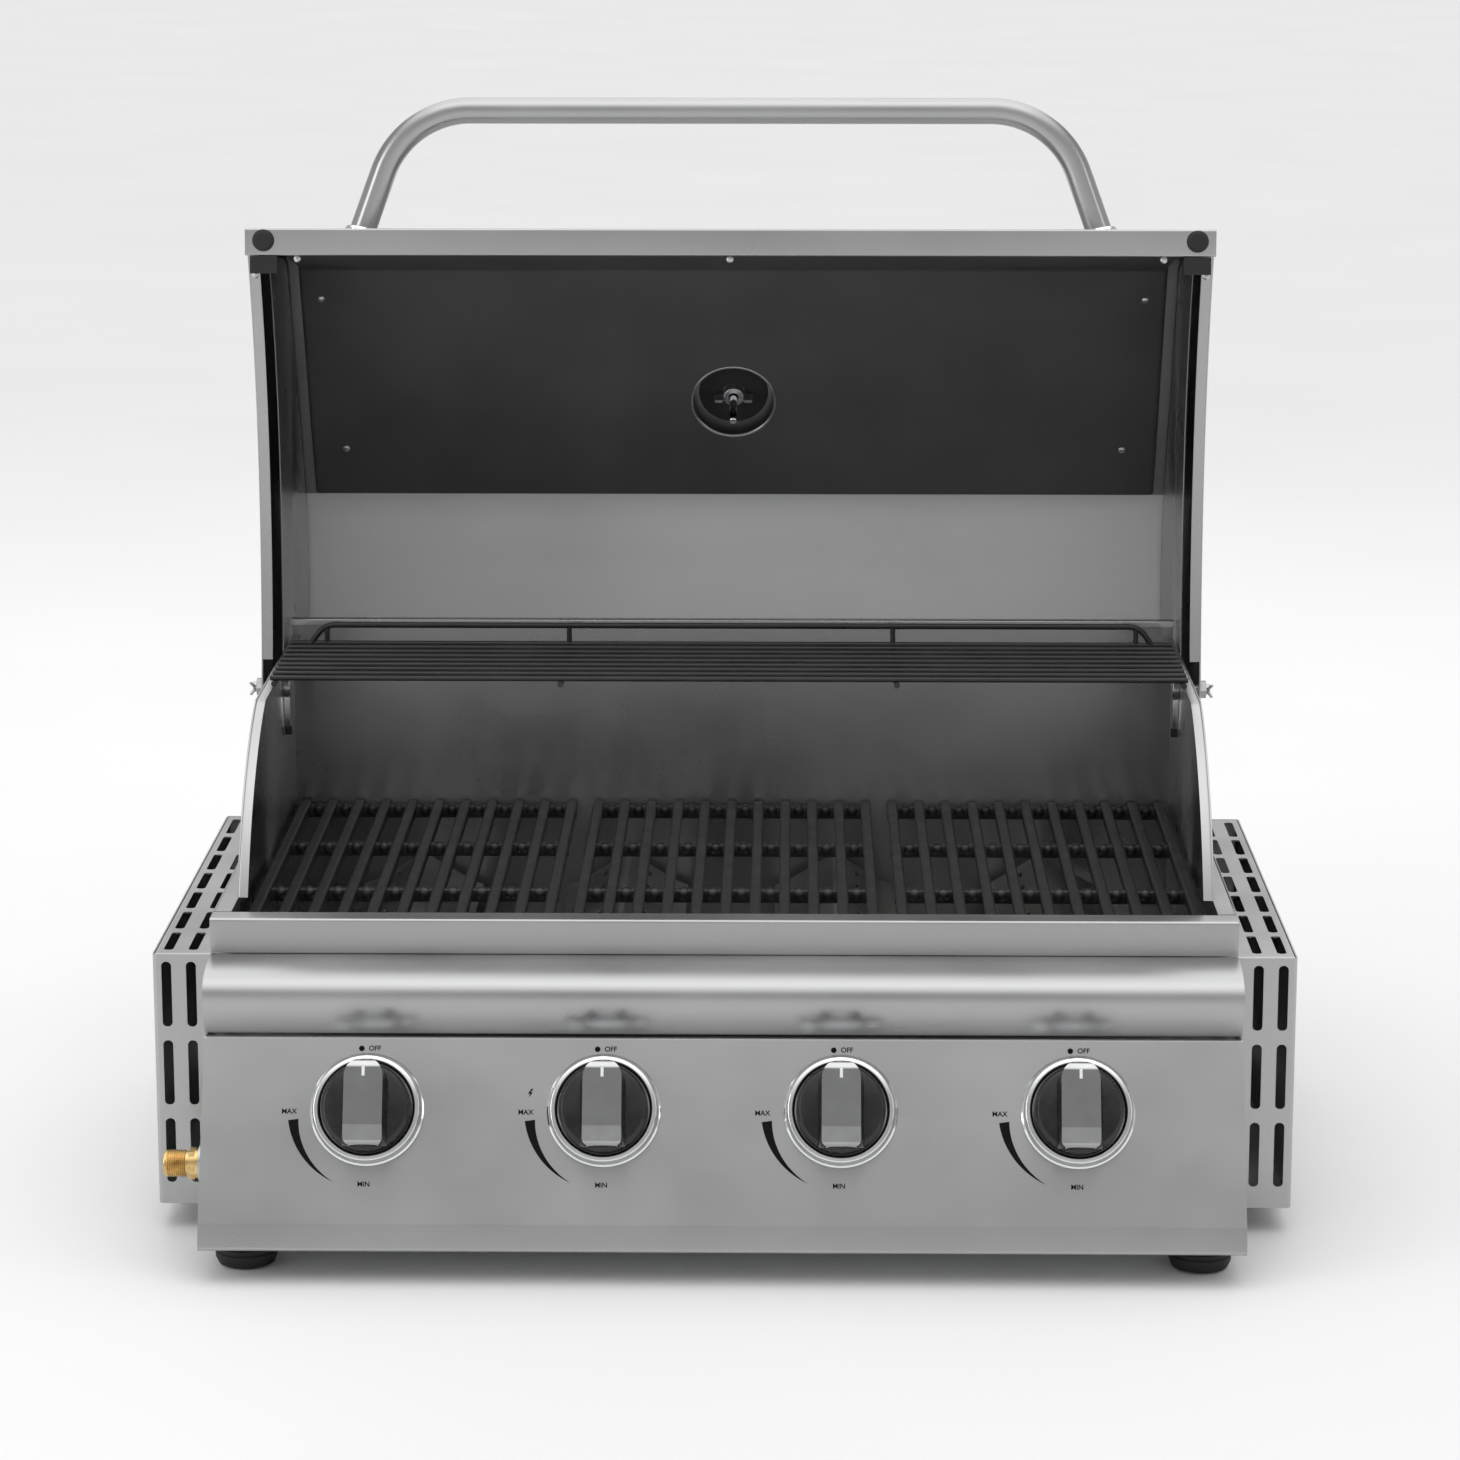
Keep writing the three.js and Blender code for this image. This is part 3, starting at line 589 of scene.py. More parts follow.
def panel_place(number):
    """The place of a knob's axis: z out of the panel and y up the panel."""
    joint = JOINTS[f"knob_{number}_turn"]
    out = Vector(joint["axis"])
    up = Vector((0, out.z, -out.y))
    turn = Matrix((Vector((1, 0, 0)), up, out)).transposed().to_4x4()
    return Matrix.Translation(joint["pos_m"]) @ turn @ Matrix.Scale(MM, 4)


def control_panel():
    corners = [*PANEL_PATH[1:4], (PANEL_BACK, PANEL_PATH[3][1]), (PANEL_BACK, PANEL_PATH[1][1])]
    shape = channel(PANEL_PATH, corners, 2.5, 4, 2.2)
    drawing = FIXED.inverted()
    holes = [moved(lathe([(0, -10), (7, -10), (7, 10), (0, 10)], 24), drawing @ panel_place(number))
             for number in range(1, KNOB_COUNT + 1)]
    inlet = moved(lathe([(0, -10), (11, -10), (11, 10), (0, 10)], 24),
                  Matrix.Translation((-RIM["half"], INLET["y"], INLET["z"])) @ facing((1, 0, 0)))
    piece("panel_sheet", cut(shape, *holes, inlet), "steel", stands_for=["control_panel"])


def lettering(text, height, centre):
    """Thin printed letters, centred on a point of the panel."""
    letters = bpy.data.curves.new("letters", "FONT")
    letters.body = text
    letters.size = height / 0.72
    letters.extrude = 0.04
    letters.offset = 0.1
    letters.align_x = "CENTER"
    letters.align_y = "CENTER"
    holder = bpy.data.objects.new("letters", letters)
    bpy.context.scene.collection.objects.link(holder)
    bpy.context.view_layer.update()
    shape = from_mesh(holder.to_mesh())
    bpy.data.objects.remove(holder)
    return moved(shape, (*centre, 0.08))


def heat_wedge():
    """Curved wedge from the full flame to the low one, left of and under the knob."""
    steps = 20
    outer = arc((0, 0), 53.5, 188, 246, steps)
    inner = arc((0, 0), 53.5, 188, 246, steps)
    inner = [point * (1 - 0.13 * (1 - index / steps)) for index, point in enumerate(inner)]
    return along_z([*outer, *reversed(inner[:-1])], 0.04, 0.12)


def spark_mark(centre):
    """Small ignition bolt, printed at one knob only."""
    bolt = [(0.6, 3), (-1.7, -0.5), (-0.2, -0.3), (-1.1, -3), (1.6, 0.6), (0.2, 0.5), (2, 3)]
    return along_z([(centre[0] + x, centre[1] + y) for x, y in bolt], 0.04, 0.12)


def panel_marks(number):
    dot = moved(lathe([(0, 0.04), (1.9, 0.04), (1.9, 0.12), (0, 0.12)], 24), (-4.7, 41.5, 0))
    shapes = [dot, heat_wedge(), lettering("OFF", 3.4, (4.2, 41.5)), lettering("MAX", 3.4, (-52.5, -1.5)),
              lettering("MIN", 3.4, (-1.2, -50.5))]
    if number == IGNITION_KNOB:
        shapes.append(spark_mark((-49.5, 11.5)))
    piece(f"panel_marks_{number}", join(*shapes), "print", place=panel_place(number), bevel=0)


def bezel(number):
    inner, outer, height = BEZEL["inner"], BEZEL["outer"], BEZEL["height"]
    profile = [(inner, 0.3), (inner, height - 2.4), (inner + 1.6, height), (inner + 4.6, height - 0.5),
               (outer - 1.4, 2.4), (outer, 1.4), (outer, 0.3)]
    ring = [*rounded(profile, 0.6, 0.9, 1.2, 1, 0.4)]
    piece(f"knob_bezel_{number}", lathe(ring, 96, loop=True), "chrome", stands_for=[f"bezel_{number}"],
          place=panel_place(number), bevel=0)


# ------------------------------------------------------------------ knobs
GRIP_SIDE = [(-28, 16), (-27.6, 27.5), (-26, 30), (-15, 33.2), (24, 35), (28, 33), (29.5, 29), (29.5, 14)]


def grip_plan(half_width, tail, tip):
    """Outline of the grip seen along the knob's axis: round at the top, blunt below."""
    return [*arc((0, tip - half_width), half_width, 0, 180, 16),
            *rounded([(-half_width, 0), (-half_width, tail), (half_width, tail), (half_width, 0)], 4)[1:-1]]


def grip_bar(low, high, base_half, top_half, side):
    """A tapered bar kept inside a side outline of (y, z) points."""
    rings = []
    for height, half, grow in ((low, base_half, 1.5), (high, top_half, 0)):
        plan = grip_plan(half, -28 - grow * 0.3, 29.5)
        rings.append([(x, y, height) for x, y in plan])
    return combine(loft(rings), along_x(side, -40, 40), "INTERSECT")


def knob(number):
    body = f"knob_{number}"
    place = panel_place(number)
    socket = lathe([(0, -1), (4.4, -1), (4.4, 27), (0, 27)], 24)
    disc_profile = [(0, 5.5), (KNOB_RADIUS, 5.5), (KNOB_RADIUS, 15), (27.5, 17.6), (18, 18.8), (0, 19.3)]
    disc = lathe(rounded(disc_profile, 0.6, 2, 2, 4), 96)
    piece(f"knob_disc_{number}", cut(disc, socket), "knob_black", body, [body], place, bevel=0)
    side = [Vector(point) for point in GRIP_SIDE]
    lowered = offset([*reversed(side)], -0.8)
    core = grip_bar(13, 36, 16.2, 12.6, [*reversed(lowered)])
    piece(f"knob_grip_{number}", cut(core, socket), "knob_black", body, place=place, bevel=0.7)
    crest = rounded(side, 1.5, 2, 5, 4, 2.5, 2)
    shell = along_x([*crest, *offset(side, 2.4)[::-1]], -40, 40)
    rings = [[(x, y, z) for x, y in grip_plan(half, -27.6, 30.4)] for z, half in ((12, 13.6), (37, 12.9))]
    cap = combine(loft(rings), shell, "INTERSECT")
    piece(f"knob_cap_{number}", cap, "dark_chrome", body, place=place, bevel=0.8)
    mark_place = place @ Matrix.Translation((0, 20.5, 34.9)) @ Matrix.Rotation(math.radians(2.6), 4, "X")
    piece(f"knob_pointer_{number}", box((-1, -3.2, -0.3), (1, 3.2, 0.35)), "white", body, place=mark_place,
          bevel=0.2)


# ------------------------------------------------------------------ gas inlet
def gas_inlet():
    """Turned brass inlet with a thread, a hexagon and a collar behind the panel's end."""
    reach, radius = INLET["reach"], INLET["radius"]
    threads = []
    for index in range(9):
        start = 2 + index * 1.45
        threads.extend([(8.5, start), (9.3, start + 0.45), (9.3, start + 0.75), (8.5, start + 1.2)])
    profile = [(INLET["bore"], 0), (8, 0), (8.5, 1), *threads, (8.4, 15.4), (8.4, 17), (radius, 17),
               (radius, 31.7), (INLET["bore"], 31.7)]
    place = Matrix.Translation((-RIM["half"] - reach, INLET["y"], INLET["z"])) @ facing((1, 0, 0))
    hexagon = cut(lathe([(0, 17), (11.2, 17), (11.2, 21), (0, 21)], 6),
                  lathe([(0, 10), (9, 10), (9, 30), (0, 30)], 24))
    piece("gas_inlet_fitting", moved(join(lathe(profile, 48, loop=True), hexagon), place), "brass",
          stands_for=["gas_inlet"], bevel=0.25)
    washer = lathe([(9.2, reach - 2.2), (13, reach - 2.2), (13, reach - 0.2), (9.2, reach - 0.2)], 40,
                   loop=True)
    piece("gas_inlet_washer", moved(washer, place), "zinc", bevel=0.3)


# ------------------------------------------------------------------ firebox
def side_plate(side):
    """Side plate with its curved front edge folded in and a ledge level with the rim."""
    half, back = FIREBOX["half"], FIREBOX["back"] - 1.5
    under, front = RIM["foot"] - 1, RIM["depth"] + 1
    edge = [*curve(32, *SIDE_EDGE), Vector((back, SIDE_EDGE[-1][1]))]
    outline = [(2, 26), (2, under), (front, under), (front, RIM_TOP), *edge, (back, 26)]
    plate = along_x(outline, half - SHEET, half)
    bend = 2.4
    rim = []
    for turn in range(0, 91, 15):
        angle = math.radians(turn)
        inward = half - bend * (1 - math.cos(angle))
        rim.append((inward, bend * (1 - math.sin(angle))))
    rim.append((half - SHEET - SIDE_FOLD, 0))
    rings = []
    for x, drop in rim:
        rings.append([(x, p.x, p.y) for p in offset(edge, drop)])
    inner = []
    for x, drop in rim:
        inner.append([(x, p.x, p.y) for p in offset(edge, drop + SHEET)])
    fold = loft([[*outer, *reversed(under_edge)] for outer, under_edge in zip(rings, inner)])
    ledge = box((half - 0.5, front, RIM_TOP - SHEET), (RIM["half"], back, RIM_TOP))
    lip = box((RIM["half"] - SHEET, front, RIM_TOP - 7), (RIM["half"], back, RIM_TOP))
    bolt = moved(lathe([(0, -9), (4.3, -9), (4.3, 9), (0, 9)], 24),
                 Matrix.Translation((half, *PIVOT)) @ facing((1, 0, 0)))
    name = SIDE_NAME[side]
    plate = cut(plate, bolt)
    piece(f"side_plate_{name}", mirrored(plate, side), "inner_steel", stands_for=[f"firebox_{name}_side"])
    piece(f"side_edge_{name}", mirrored(fold, side), "steel", bevel=0.2)
    piece(f"side_ledge_{name}", mirrored(join(ledge, lip), side), "steel", bevel=0.3)


def back_wall():
    half, back, top = FIREBOX["half"], FIREBOX["back"], FIREBOX["top"]
    path = rounded([(back, FIREBOX["floor"]), (back, top), (back - 9, top), (back - 9, top - 5)], 2, 1.4)
    path = [Vector(point) for point in path]
    sheet = along_x([*path, *reversed(offset(path, -SHEET))], -half + 0.3, half - 0.3)
    piece("back_wall", sheet, "inner_steel", stands_for=["firebox_back"])
    heads = [moved(screw_head(3.4), Matrix.Translation((x, back, z)) @ facing((0, 1, 0)))
             for x in (-300, -100, 100, 300) for z in (top - 18, FIREBOX["floor"] + 20)]
    piece("back_screws", join(*heads), "zinc", bevel=0)


def flame_tamer(number):
    """Folded roof over a burner with a rounded ridge and a row of vents below it."""
    half, hem, eaves, ridge = TAMER["half"], TAMER["hem"], TAMER["eaves"], TAMER["ridge"]
    path = rounded([(-half, eaves), (hem - half, eaves + 4), (0, ridge), (half - hem, eaves + 4),
                    (half, eaves)], 3, 6, 3)
    sheet = along_y([*path, *reversed(offset(path, 1))], TAMER["front"], TAMER["back"])
    slope = math.atan2(ridge - eaves - 4, half - hem)
    slots = []
    for side in (-1, 1):
        for index in range(9):
            y = TAMER["front"] + 26 + index * 40
            hole = along_z(closed_round([(-1.6, -8), (1.6, -8), (1.6, 8), (-1.6, 8)], 1.5), -4, 4)
            place = Matrix.Translation((side * 17, y, ridge - 17 * math.tan(slope)))
            slots.append(moved(hole, place @ Matrix.Rotation(side * slope, 4, "Y")))
    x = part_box(f"flame_tamer_{number}")[0].x / MM + half
    piece(f"tamer_roof_{number}", moved(cut(sheet, *slots), (x, 0, 0)), "burner",
          stands_for=[f"flame_tamer_{number}"], bevel=0.15)


def burner(number):
    """Burner tube with a row of ports along each side, an open mouth and a crimped end."""
    radius, height = BURNER["radius"], BURNER["height"]
    length = BURNER["back"] - BURNER["front"]
    profile = [(radius - 1.2, 0), (radius, 0), (radius, length - 12), (radius - 5, length), (0, length),
               (0, length - 2), (radius - 6, length - 2), (radius - 1.2, length - 14)]
    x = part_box(f"burner_{number}")[0].x / MM + radius
    place = Matrix.Translation((x, BURNER["front"], height)) @ facing((0, 1, 0))
    hose = moved(lathe(profile, 32), place)
    ports = []
    for side in (-1, 1):
        for index in range(16):
            spot = Matrix.Translation((x, 60 + index * 20, height))
            turn = Matrix.Rotation(side * math.radians(60), 4, "Y")
            ports.append(moved(lathe([(0, 8), (1.4, 8), (1.4, 18), (0, 18)], 8), spot @ turn))
    piece(f"burner_tube_{number}", cut(hose, *ports), "burner", stands_for=[f"burner_{number}"], bevel=0)


def grate(place, index):
    """Cast grate: tapered bars on cross bars, with a rounded boss in each gap."""
    middle = (index - 1) * GRATE["bars"] * GRATE["pitch"]
    top, front, back = GRATE["top"], GRATE["front"], GRATE["back"]
    section = rounded([(0, top - 11), (-3, top - 11), (-4, top - 1.5), (-2.6, top), (2.6, top),
                       (4, top - 1.5), (3, top - 11), (0, top - 11)], 0.7, steps=3)[1:-1]
    shapes = []
    first = middle - GRATE["pitch"] * (GRATE["bars"] - 1) / 2
    places = [first + step * GRATE["pitch"] for step in range(GRATE["bars"])]
    for x in places:
        shapes.append(along_y([(x + p.x, p.y) for p in section], front, back))
    for y in CROSS_BARS:
        outline = closed_round([(y - 4, top - 12), (y + 4, top - 12), (y + 3, top - 2.6),
                                (y - 3, top - 2.6)], 1.2)
        shapes.append(along_x(outline, places[0] - 3.5, places[-1] + 3.5))
        half_turn = [math.radians(angle) for angle in range(-90, 91, 18)]
        boss = lathe([(5.4 * math.cos(a), 5.4 * math.sin(a)) for a in half_turn], 20)
        for x in places[:-1]:
            shapes.append(moved(boss, (x + GRATE["pitch"] / 2, y, top - 6.6)))
    piece(f"grate_casting_{place}", join(*shapes), "enamel", stands_for=[f"grate_{place}"], bevel=0)


def warming_rack():
    """Wire rack: long wires on cross wires, with a guard wire that bends down at its ends."""
    radius, half, front, back = RACK["radius"], RACK["half"], RACK["front"], RACK["back"]
    low = SIDE_EDGE[-1][1] + 0.3 + radius
    high = low + 2 * radius - 0.6
    pitch = (back - front) / (RACK["wires"] - 1)
    shapes = []
    for index in range(RACK["wires"]):
        y = front + index * pitch
        shapes.append(tube([(-half, y, high), (half, y, high)], radius * 0.9, 12))
    for x in (3 - half, -RACK["inner"], RACK["inner"], half - 3):
        shapes.append(tube([(x, front - 3, low), (x, back + 3, low)], radius, 12))
    peak = high + RACK["guard"]
    corner = half - 14
    bend = rounded([(corner - 90, peak), (corner - 12, peak), (corner, low + 1)], 16, steps=10)
    route = [(-p.x, back, p.y) for p in reversed(bend)] + [(p.x, back, p.y) for p in bend]
    shapes.append(tube(route, radius, 14))
    for x in (-half + 28, -RACK["inner"], RACK["inner"], half - 28):
        shapes.append(tube([(x, back, low), (x, back, peak)], radius * 0.9, 10))
    piece("rack_wires", join(*shapes), "enamel", stands_for=["warming_rack"], bevel=0)


def drip_tray():
    """Pressed tray with round corners, a rolled edge and a pull at the back."""
    half, front, back = TRAY["half"], TRAY["front"], TRAY["back"]
    bottom, top = TRAY["bottom"], TRAY["top"]
    middle = (front + back) / 2
    depth = (back - front) / 2

    def ring(inset, height, radius):
        x, y = half - inset, depth - inset
        outline = closed_round([(-x, -y), (x, -y), (x, y), (-x, y)], radius, steps=6)
        return [(p.x, p.y + middle, height) for p in outline]

    rings = [ring(6, bottom, 12), ring(3.5, bottom + 1, 14), ring(2.4, bottom + 4, 14),
             ring(2.4, top - 4, 14), ring(0.3, top - 3.4, 16), ring(0, top - 2, 16), ring(0.6, top - 0.6, 16),
             ring(2, top, 15), ring(3.2, top - 0.7, 14), ring(3.4, top - 3, 13), ring(3.4, bottom + 4, 13),
             ring(4.5, bottom + 2, 13), ring(7, bottom + 1, 11)]
    pull = rounded([(back - 3, top - 22), (back + 0.2, top - 22), (back + 0.2, top - 12),
                    (back + TRAY["pull"], top - 12), (back + TRAY["pull"], top - 18)], 0.8, 2, 3)
    handle = folded(pull, -60, 60, 1.5)
    piece("tray_pressing", join(loft(rings), handle), "zinc", "drip_tray", ["drip_tray"], bevel=0.2)


# ------------------------------------------------------------------ side vent boxes
def slot_cutter():
    half = SLOT["length"] / 2
    width = SLOT["width"] / 2
    corners = [(-width, -half), (width, -half), (width, half), (-width, half)]
    return along_z(closed_round(corners, width - 0.05, steps=8), -8, 8)


def vent_box(side):
    """Sheet box beside the firebox: one sheet round the front, side and back, and a top let in."""
    inner, outer = VENT["inner"], VENT["outer"]
    front, back, bottom, top = VENT["front"], VENT["back"], VENT["bottom"], VENT["top"]
    path = rounded([(inner, front), (outer, front), (outer, back), (inner, back)], 3.2)
    wrap = along_z([*path, *reversed(offset(path, -SHEET))], bottom, top)
    floor = box((inner, front + 1, bottom), (outer - 1, back - 1, bottom + SHEET))
    seam = SHEET + 0.6
    lid_path = rounded([(front + seam, top - 4), (front + seam, top), (back - seam, top),
                        (back - seam, top - 4)], 1.2)
    lid = folded(lid_path, inner, outer - seam)
    front_slots, top_slots = [], []
    upright = Matrix.Rotation(math.radians(90), 4, "X")
    for inset in SLOT_ROWS:
        for index in range(SLOT["front"]):
            height = top - 28.5 - index * SLOT["pitch"]
            spot = Matrix.Translation((outer - inset, front, height))
            front_slots.append(moved(slot_cutter(), spot @ upright))
        for index in range(SLOT["top"]):
            top_slots.append(moved(slot_cutter(), (outer - inset, front + 34.5 + index * SLOT["pitch"], top)))
    name = SIDE_NAME[side]
    piece(f"vent_wrap_{name}", mirrored(join(cut(wrap, *front_slots), floor), side), "steel",
          stands_for=[f"vent_box_{name}"], bevel=0.25)
    piece(f"vent_top_{name}", mirrored(cut(lid, *top_slots), side), "steel", bevel=0.25)


def foot(place, side):
    """Moulded foot with a soft edge, two grooves and a screwed washer under it."""
    x, y = FEET[place]
    groove = [(21, 9.5), (20, 10), (20, 10.8), (21, 11.3), (21, 13.5), (20, 14), (20, 14.8), (21, 15.3)]
    top = FOOT_HEIGHT - 0.1
    profile = [(0, 3), (8, 3), (8, 0), (15, 0), (19, 1.5), (21, 6), *groove, (21, 17), (17, top), (0, top)]
    name = f"{place}_{SIDE_NAME[side]}"
    piece(f"foot_rubber_{name}", moved(lathe(profile, 48), (side * x, y, 0)), "rubber",
          stands_for=[f"foot_{name}"], bevel=0.4)
    washer = lathe([(0, 2.9), (7.4, 2.9), (7.4, 2), (4, 1.9), (3.4, 0.8), (0, 0.7)], 32)
    piece(f"foot_screw_{name}", moved(washer, (side * x, y, 0)), "zinc", bevel=0.15)


# ------------------------------------------------------------------ hood, drawn closed
def slope_height(y):
    """Height of the outside of the hood's flat slope at a depth y."""
    return SLOPE_POINT.y - (SLOPE_POINT.x - y) * math.tan(SLOPE_ANGLE)


def hood_path():
    """Outer outline from the lip, over the top, to the rear edge."""
    along = Vector((math.cos(SLOPE_ANGLE), math.sin(SLOPE_ANGLE)))
    centre = SLOPE_POINT + Vector((along.y, -along.x)) * CROWN_RADIUS
    crown = arc(centre, CROWN_RADIUS, 90 + math.degrees(SLOPE_ANGLE), 24, 36)
    corner = Vector((BROW["y"], slope_height(BROW["y"])))
    front = (corner - LIP).normalized()
    brow = curve(14, corner - front * BROW["rounding"], corner, corner + along * BROW["rounding"])
    return [LIP, *brow, *crown, REAR_EDGE]


def arch_edge(rise, front, back):
    base = RIM_TOP + rise
    return curve(32, (front, base + 4), (140, base + 84), (back, base + 72))


def on_slope():
    """The middle of the hood's slope, z pointing out."""
    return OPEN @ Matrix.Translation((0, DIAL_Y, slope_height(DIAL_Y))) @ Matrix.Rotation(SLOPE_ANGLE, 4, "X")


def hood_skin():
    path = [LIP + Vector((LIP_RETURN, 5)), LIP + Vector((LIP_RETURN, 0)), *hood_path()]
    outer = [*rounded(path[:4], 1.5, 1.8)[:-1], *path[3:]]
    sheet = piece("hood_sheet", folded(outer, -HOOD_HALF, HOOD_HALF), "steel", "hood", ["hood_skin"], OPEN)
    sheet.data.materials.append(FINISHES["rear_band"][0])
    closed = OPEN.inverted()
    middle = Vector((SLOPE_POINT.x, SLOPE_POINT.y - CROWN_RADIUS))
    # Inner faces of the crown behind the slope take the rear band, a pale painted reflection.
    for polygon in sheet.data.polygons:
        spot = (closed @ polygon.center).yz
        facing_in = (closed.to_3x3() @ polygon.normal).yz.dot(middle - spot) > 0
        if facing_in and spot.x > SLOPE_POINT.x:
            polygon.material_index = 1


def hood_cap(side):
    """End sheet with its lower edge folded in along the arch."""
    outer = HOOD_HALF - 0.3
    inside = offset(hood_path(), SHEET + 0.3)
    inside[0] = Vector((inside[0].x + 0.3, LIP.y + SHEET + 0.3))
    heel = arc(PIVOT, 17, 0, -110, 14)
    arch = list(reversed(arch_edge(2, LIP.x + 3, PIVOT.x - 22)))
    plate = along_x([*inside, *heel, *arch], outer - SHEET, outer)
    bolt = moved(lathe([(0, -9), (4.3, -9), (4.3, 9), (0, 9)], 24),
                 Matrix.Translation((outer, *PIVOT)) @ facing((1, 0, 0)))
    fold = folded(arch, outer - 8.5, outer - 0.5)
    name = SIDE_NAME[side]
    piece(f"hood_end_{name}", mirrored(cut(plate, bolt), side), "steel", "hood", [f"hood_cap_{name}"], OPEN)
    piece(f"hood_end_flange_{name}", mirrored(fold, side), "inner_steel", "hood", place=OPEN, bevel=0.3)


def hood_liner():
    """Inner sheet with a round opening and edges rolled back at both sides."""
    drop = LINER["offset"] / math.cos(SLOPE_ANGLE) + LINER["back"]
    brow, crown = LINER["foot"][0] + 14, SLOPE_POINT.x - 1
    path = rounded([LINER["foot"], (brow, slope_height(brow) - drop), (crown, slope_height(crown) - drop)], 6)
    half = LINER["half"]
    quarter = [math.radians(angle) for angle in range(0, 91, 15)]
    roll = [(half - 5 + 4 * math.sin(a), 4 * (1 - math.cos(a))) for a in quarter]
    section = [*[(-x, lift) for x, lift in reversed(roll)], *roll]
    rings = []
    for x, lift in section:
        outer, inner = offset(path, -lift), offset(path, 1 - lift)
        rings.append([(x, p.x, p.y) for p in [*outer, *reversed(inner)]])
    hole = moved(lathe([(0, -34), (LINER["hole"], -34), (LINER["hole"], 6), (0, 6)], 64),
                 OPEN.inverted() @ on_slope())
    piece("liner_sheet", cut(loft(rings), hole), "liner", "hood", ["hood_liner"], OPEN, bevel=0.2)


def inner_wall(side):
    """Flat wall beside the liner, whose lower edge follows its arch."""
    inside = offset(hood_path(), 5)[1:]
    rear = inside.pop()
    arch = list(reversed(arch_edge(42, LINER["foot"][0] + 2, PIVOT.x)))
    start = (LINER["foot"][0] + 2, RIM_TOP + 46)
    outline = [start, *inside, (rear.x - 6, REAR_EDGE.y), *arch[:-1]]
    name = SIDE_NAME[side]
    piece(f"hood_wall_{name}", mirrored(along_x(outline, 340.2, 341.2), side), "inner_steel", "hood",
          [f"hood_inner_wall_{name}"], OPEN)


def handle_path():
    """Centre line of the handle: a straight bar between two bends on slanted legs."""
    slant, bend, base, reach = HANDLE_SLANT, HANDLE["bend"], HANDLE["base"], HANDLE["reach"]
    corner = (base - reach * math.tan(slant), -reach)
    buried = HANDLE["buried"]
    half = rounded([(base + buried * math.tan(slant), buried), corner, (0, -reach)], bend, steps=20)
    right = [(p.x, p.y, HANDLE["height"]) for p in half]
    return [(-x, y, z) for x, y, z in right[:-1]] + right[::-1][1:]


def behind_front():
    """Everything behind the flat front of the hood, which ends the handle and its collars."""
    block = box((-HOOD_HALF, -0.1, -100), (HOOD_HALF, 60, 300))
    return moved(block, Matrix.Translation((0, *LIP)) @ Matrix.Rotation(-HOOD_LEAN, 4, "X"))


def hood_handle():
    root = LIP.x - 0.3
    bar = moved(tube(handle_path(), HANDLE["radius"], 40), (0, root, 0))
    piece("handle_bar", cut(bar, behind_front()), "steel", "hood", ["hood_handle"], OPEN, bevel=0)
    for name, side in (("left", -1), ("right", 1)):
        profile = rounded([(7, -6), (12.8, -6), (12.8, 1), (11.4, 3), (7, 3)], 0.2, 1.2, 0.8)
        place = Matrix.Translation((side * (HANDLE["base"] + 1.5), root + 3.4, HANDLE["height"]))
        tilt = Matrix.Rotation(math.pi / 2 - HOOD_LEAN, 4, "X")
        turn = Matrix.Rotation(-side * HANDLE_SLANT / 2, 4, "Z") @ tilt
        collar = moved(lathe(profile, 48, loop=True), place @ turn)
        piece(f"collar_ring_{name}", cut(collar, behind_front()), "chrome", "hood", [f"handle_collar_{name}"],
              OPEN, bevel=0)


def dial_ticks():
    shapes = []
    for index in range(41):
        angle = math.radians(225 - index * 270 / 40)
        long = 4.2 if index % 5 == 0 else 2.2
        wide = 0.45 if index % 5 == 0 else 0.22
        turn = Matrix.Rotation(angle, 4, "Z")
        shapes.append(moved(box((31 - long, -wide, 8.7), (31, wide, 8.9)), turn))
    return join(*shapes)


def dial_numbers():
    shapes = []
    for index in range(5):
        angle = math.radians(225 - index * 270 / 4)
        centre = (21.5 * math.cos(angle), 21.5 * math.sin(angle))
        shapes.append(moved(lettering(str(index * 100), 4, centre), (0, 0, 8.7)))
    return join(*shapes)


